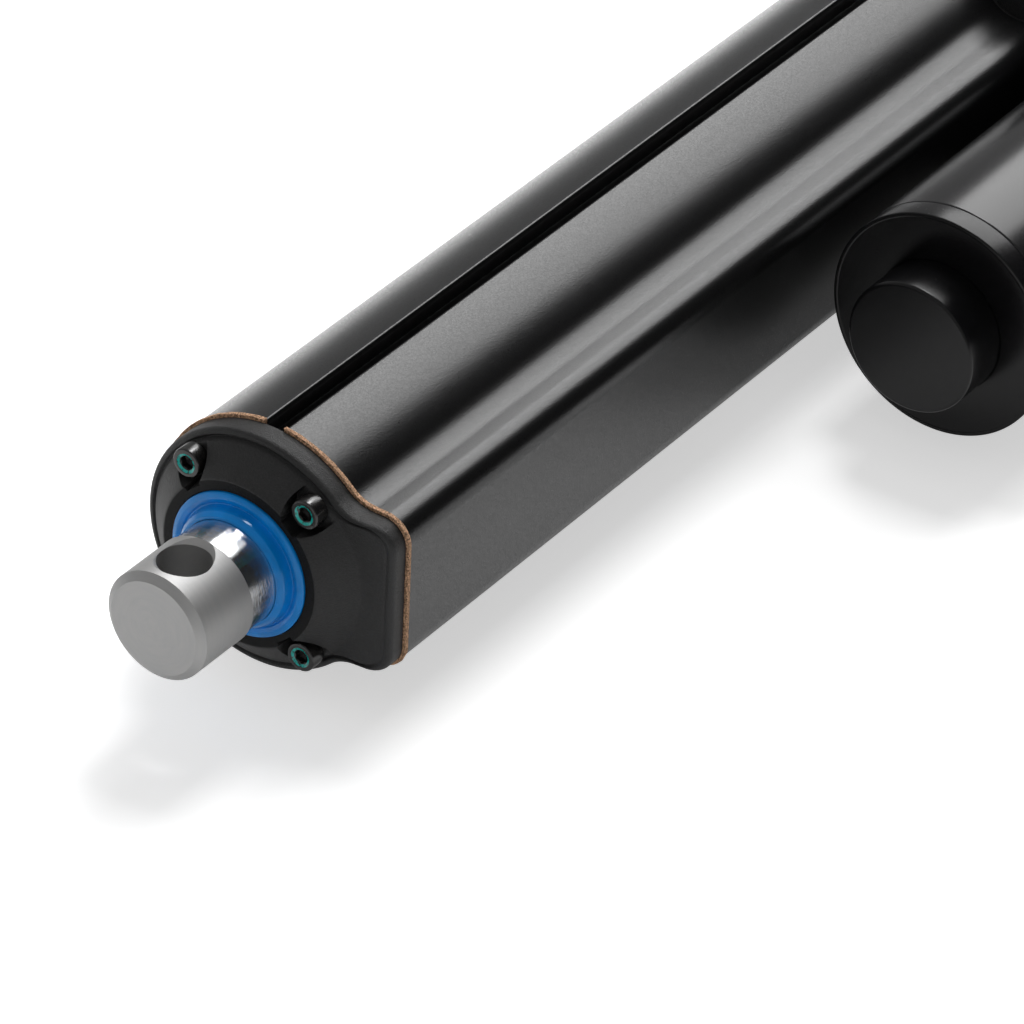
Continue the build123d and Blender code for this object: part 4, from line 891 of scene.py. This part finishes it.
def cover_outline(angle):
    """The cover's outer radius at each angle, read off its outline."""
    corners = body_outline(-COVER_INSET)
    share = np.linspace(0, 1, OUTLINE_STEPS, endpoint=False)[:, None]
    outline = (corners[:-1, None] * (1 - share) + corners[1:, None] * share).reshape(-1, 2)
    turned = np.arctan2(outline[:, 1], outline[:, 0])
    order = np.argsort(turned)
    return np.interp(angle, turned[order], np.linalg.norm(outline, axis=1)[order], period=2 * pi)


def from_pocket(place):
    """Signed distance of (y, z) places from the nearest screw pocket, and the direction away from it.

    A pocket is a circle swept straight outwards, so the distance is to a point of its axis that is never
    further in than the screw.
    """
    centres = np.array(COVER_SCREWS)
    outwards = centres / np.linalg.norm(centres, axis=1, keepdims=True)
    gap = place[..., None, :] - centres
    along = np.clip((gap * outwards).sum(-1), 0, None)
    off = gap - along[..., None] * outwards
    reach = np.linalg.norm(off, axis=-1)
    nearest = reach.argmin(-1)
    chosen = np.take_along_axis(reach, nearest[..., None], -1)
    away = np.take_along_axis(off, nearest[..., None, None], -2)[..., 0, :] / np.maximum(chosen, 1e-9)
    return chosen[..., 0] - POCKET_RADIUS, away


def cover_height(place, inset):
    """Station of the cover's front at (y, z) places that lie inset within its outline.

    The front is the higher of a cone below the cut ring and of the flat plate, less the creases and rounded
    down over the edge, and then the lower of that and of the steep walls round the pockets' floors.
    """
    y, radius = place[..., 0], np.linalg.norm(place, axis=-1)
    plate = COVER_REAR + BLOCK_RISE + (RIM_RISE - BLOCK_RISE) * smooth_step(y, *RISE_CHANGE)
    fall = (COVER_FACE - COVER_REAR - RIM_RISE) / (COVER_FOOT_RADIUS - COVER_RING_RADIUS)
    cone = smooth_low(COVER_FACE, COVER_FACE - fall * (radius - COVER_RING_RADIUS), RING_BLEND)
    cone = np.where(radius > COVER_FOOT_RADIUS + 1, -1e3, cone)
    front = smooth_high(cone, plate, RELIEF_BLEND)
    at_rim = smooth_step(y, *CREASE_CHANGE)
    crease = CREASE_AT_BLOCK + CREASE_MORE_AT_RIM * at_rim
    front = front - crease * dip(inset - CREASE_INSET, CREASE_WIDTH)
    front = front - FOOT_CREASE * (1 - at_rim) * dip(radius - COVER_FOOT_RADIUS, CREASE_WIDTH)
    over = np.clip(1 - inset / RIM_ROUNDING, 0, 1)
    front = front - RIM_ROUNDING * (1 - np.sqrt(1 - over**2))
    floor = COVER_REAR + POCKET_RISE
    wall = smooth_high(floor, floor + POCKET_DRAFT * (from_pocket(place)[0] + POCKET_FOOT), POCKET_FOOT)
    return smooth_low(front, wall, RELIEF_BLEND)


def cover_places(angle, outer):
    """Rings of (y, z) places over the cover's front, from its outline in to the wiper's seat.

    They follow the outline near the rim and are circles over the cone. Those nearest to the foot or the top
    of a pocket's wall are moved onto it, so that it gets clean edges.
    """
    over_edge = RIM_ROUNDING * (1 - np.cos(np.linspace(0, pi / 2, 8)))
    inwards = np.concatenate([over_edge, np.linspace(RIM_ROUNDING, CREASE_INSET + 0.9, 10)[1:]])
    edge = outer - inwards[:, None]
    cone = np.arange(COVER_FOOT_RADIUS + 1.1, COVER_RING_RADIUS + 0.6, -PLACES_APART)
    ring_edge = np.linspace(COVER_RING_RADIUS + 0.5, COVER_RING_RADIUS - 0.5, 9)
    cut_ring = [*ring_edge, 19.0, 18.0, WIPER_SEAT_RADIUS + WIPER_SEAT_CHAMFER]
    circles = np.concatenate([cone, cut_ring])[:, None]
    share = np.linspace(0, 1, 12)[1:-1, None]
    plate = edge[-1] * (1 - share) + np.minimum(circles[0], edge[-1]) * share
    radius = np.concatenate([edge, plate, np.minimum(circles, edge[-1] - 0.01)])
    place = radius[..., None] * polar(angle)
    for line in (-POCKET_FOOT, 0.0):
        gap, away = from_pocket(place)
        shift = line - gap
        near = (np.abs(shift) < PLACES_APART / 2 + 0.005) & (radius < 28)
        place = place + np.where(near, shift, 0)[..., None] * away
    return place, outer - radius


class ACTUATOR_OT_cover(Operator):
    """Make the front cover: a height over rings of places, closed by its wall, bore, hub and rear face"""

    bl_idname = "actuator.cover"
    bl_label = "Front cover"

    def execute(self, context):
        angle = full_turn(COVER_COLUMNS)
        outer = cover_outline(angle)
        place, inset = cover_places(angle, outer)
        front = np.concatenate([cover_height(place, inset)[..., None], place], -1)
        seat, bore = WIPER_LOW[0], ROD_RADIUS + ROD_CLEARANCE
        closing = [
            (COVER_FACE - WIPER_SEAT_CHAMFER, WIPER_SEAT_RADIUS),
            (seat, WIPER_SEAT_RADIUS),
            (seat, bore),
            (COVER_LOW[0], bore),
            (COVER_LOW[0], HUB_RADIUS),
            (COVER_REAR, HUB_RADIUS),
            (COVER_REAR, outer - COVER_EDGE_EASE),
            (COVER_REAR + COVER_EDGE_EASE, outer),
        ]
        closing_points, _ = lathe(closing, columns=COVER_COLUMNS)
        body = np.concatenate([front, closing_points.reshape(len(closing), COVER_COLUMNS, 3)])
        spigot = cavity_loop() * SPIGOT_SHRINK
        hub = polar(angle[::3], HUB_RADIUS - 0.2)
        ends = (COVER_REAR - SPIGOT_LENGTH, COVER_REAR + 0.05)
        surfaces = [grid(body, close_u=True, close_v=True), walls(spigot, ends), walls(hub, ends)]
        surfaces += [lid([spigot, hub], x) for x in ends]
        paint = textured_paint(context.scene.actuator_sizes, context.scene.actuator_colours, "dark_ring")
        made = piece("cover_casting", surfaces, paint, "front_cover", 33)
        # The paint is made darker and duller within the ring round the wiper
        cut = DARK_RING_RADIUS * MM
        mark_points(made, "dark_ring", lambda points: np.linalg.norm(points[:, 1:], axis=1) < cut)
        return {"FINISHED"}


class ACTUATOR_OT_cover_screws(Operator):
    """Make the cover's socket screws: a turned profile whose socket rows follow a hexagon"""

    bl_idname = "actuator.cover_screws"
    bl_label = "Cover screws"

    def execute(self, context):
        tip, top = SCREWS_LOW[0], SCREWS_HIGH[0]
        seat, head, shank = top - SCREW_HEAD_HEIGHT, SCREW_HEAD_RADIUS, SCREW_SHANK_RADIUS
        hexagon = HEX_FLATS / 2 / np.cos((full_turn(SCREW_COLUMNS) + pi / 6) % (pi / 3) - pi / 6)
        profile = [
            (tip, 0.0),
            (tip, shank - SCREW_TIP_CHAMFER),
            (tip + SCREW_TIP_CHAMFER, shank),
            (seat, shank),
            (seat, head - SCREW_SEAT_CHAMFER),
            (seat + SCREW_SEAT_CHAMFER, head),
            # The head's rounded top edge
            (top - 0.45, head),
            (top - 0.25, head - 0.07),
            (top - 0.08, head - 0.25),
            (top, head - 0.5),
            # The countersink where round turns to hexagon
            (top, 2.45),
            (top - 0.06, 2.38),
            (top - 0.3, 1.85),
            (top - 0.42, np.maximum(hexagon, 1.66)),
            (top - 0.6, hexagon),
            (top - HEX_DEPTH, hexagon),
            (top - HEX_DEPTH - HEX_POINT, 0.0),
        ]
        turns = (0.4, 1.3, 0.1, 0.9)
        places = zip(COVER_SCREWS, turns)
        surfaces = [lathe(profile, centre, SCREW_COLUMNS, turn) for centre, turn in places]
        finish = dyed_oxide(context.scene.actuator_colours, top)
        made = piece("cover_screws", surfaces, finish, "front_cover_screws", 25)
        axes = np.array(COVER_SCREWS) * MM
        mark_points(
            made, "axis_distance", lambda points: np.linalg.norm(points[:, None, 1:] - axes, axis=2).min(1)
        )
        return {"FINISHED"}


class ACTUATOR_OT_wiper(Operator):
    """Make the rod wiper: a turned profile with a bead, a groove and a flared flank up to its lip"""

    bl_idname = "actuator.wiper"
    bl_label = "Rod wiper"

    def execute(self, context):
        seat, lip, radius = WIPER_LOW[0], WIPER_HIGH[0], WIPER_HIGH[1]
        face, bore = lip - 2.9, ROD_RADIUS + 0.02
        corners = [
            # Seat in the cover
            (seat, bore + 2.0, 0.3),
            (seat, radius, 0.3),
            (face - 0.25, radius, 0.5),
            # Bead and groove
            (face + 0.2, radius - 1.3, 1.0),
            (face - 0.1, radius - 2.3, 0.4),
            (face - 0.5, radius - 2.85, 0.2),
            # Flank up to the lip
            (face + 0.2, radius - 3.1, 0.3),
            (lip - 0.9, radius - 3.45, 1.0),
            (lip, radius - 4.3, 0.5),
            # Bore, which runs on the rod at the lip only
            (lip, bore + 0.02, 0.1),
            (lip - 1.2, bore, 0.3),
            (seat + 4.15, bore + 0.6, 0.6),
        ]
        finish = blue_polyurethane(context.scene.actuator_colours)
        piece("wiper_ring", [lathe(soft_profile(corners, 8))], finish, "rod_wiper", 50)
        return {"FINISHED"}


class ACTUATOR_OT_motor_shell(Operator):
    """Make the motor's can, its end cap and the plug in the cap: turned profiles with eased edges"""

    bl_idname = "actuator.motor_shell"
    bl_label = "Motor can, cap and plug"

    def execute(self, context):
        rear, front, outer, inner = CAN_LOW[0], CAN_HIGH[0], MOTOR_RADIUS, MOTOR_RADIUS - CAN_WALL
        can = [(rear, inner, 0.1), (rear, outer, 0.15), (front, outer, 0.4), (front, inner, 0.1)]
        gloss = satin_plastic("motor_gloss", (0.008, 0.008, 0.0085), 0.2, 0.28, 0.12)
        piece("motor_can", [lathe(soft_profile(can), MOTOR_CENTRE)], gloss, "motor_tube")

        face, spigot_rear, spigot = CAP_HIGH[0], CAP_LOW[0], inner - 0.1
        stem, plug, seat = PLUG_STEM_RADIUS, PLUG_RADIUS, face - PLUG_SEAT_DEPTH
        cap = [
            (spigot_rear, spigot, 0.2),
            (front, spigot, 0.1),
            # Seam with the can, outer edge and a face let in a little within a rim
            (front, outer - 0.4, 0.1),
            (front + 0.3, outer, 0.15),
            (face, outer, 0.35),
            (face, outer - 0.8, 0.2),
            (face - 0.12, outer - 1.1, 0.2),
            # Seat of the plug and of its stem
            (face - 0.12, plug, 0.2),
            (seat, plug, 0.1),
            (seat, stem, 0.2),
            (front + 2.0, stem, 0.1),
            # Hole for the shaft, seat of its bush, and hub
            (front + 2.0, SHAFT_HOLE_RADIUS, 0.1),
            (front, SHAFT_HOLE_RADIUS, 0.1),
            (front, BUSH_SEAT_RADIUS, 0.1),
            (spigot_rear, BUSH_SEAT_RADIUS, 0.1),
            (spigot_rear, CAP_HUB_RADIUS, 0.2),
            (front - 0.5, CAP_HUB_RADIUS, 0.3),
            (front - 0.5, CAP_BOLT_RING, 0.3),
            (spigot_rear, CAP_BOLT_RING, 0.2),
        ]
        moulding = satin_plastic("cap_moulding", (0.004, 0.004, 0.0045), 0.2, 0.3, shine=0.3)
        surfaces = [lathe(soft_profile(cap), MOTOR_CENTRE)]
        piece("motor_cap", surfaces, moulding, "motor_end_cap")

        stem_end, top = PLUG_LOW[0], PLUG_HIGH[0]
        stem, plug = stem - PLUG_CLEARANCE, plug - PLUG_CLEARANCE
        knob = [(stem_end, 0.0), (stem_end, stem), (seat, stem), (seat, plug), (top, plug), (top, 0.0)]
        section = rounded(knob, [1e-6, 0.3, 0.2, 0.2, 0.9, 1e-6], 8).reshape(-1, 2)
        surfaces = [lathe(section, MOTOR_CENTRE)]
        piece("cap_plug", surfaces, moulding, "motor_cap_plug")
        return {"FINISHED"}


class ACTUATOR_PT_panel(Panel):
    """The actuator's sizes, colours and steps"""

    bl_idname = "ACTUATOR_PT_panel"
    bl_label = "Linear actuator"
    bl_space_type = "VIEW_3D"
    bl_region_type = "UI"
    bl_category = "Actuator"

    def draw(self, context):
        for name in ActuatorSizes.__annotations__:
            self.layout.prop(context.scene.actuator_sizes, name)
        for name in ActuatorColours.__annotations__:
            self.layout.prop(context.scene.actuator_colours, name)
        for step in STEPS:
            self.layout.operator(step.bl_idname)


STEPS = [
    ACTUATOR_OT_stage,
    ACTUATOR_OT_finishes,
    ACTUATOR_OT_tube,
    ACTUATOR_OT_gaskets,
    ACTUATOR_OT_cover,
    ACTUATOR_OT_cover_screws,
    ACTUATOR_OT_wiper,
    ACTUATOR_OT_motor_shell,
]
CLASSES = [ActuatorSizes, ActuatorColours, *STEPS, ACTUATOR_PT_panel]


def register():
    for cls in CLASSES:
        bpy.utils.register_class(cls)
    bpy.types.Scene.actuator_sizes = PointerProperty(type=ActuatorSizes)
    bpy.types.Scene.actuator_colours = PointerProperty(type=ActuatorColours)


def unregister():
    del bpy.types.Scene.actuator_colours
    del bpy.types.Scene.actuator_sizes
    for cls in reversed(CLASSES):
        bpy.utils.unregister_class(cls)


def main():
    register()
    for step in STEPS:
        group, name = step.bl_idname.split(".")
        getattr(getattr(bpy.ops, group), name)()


if __name__ == "__main__":
    main()
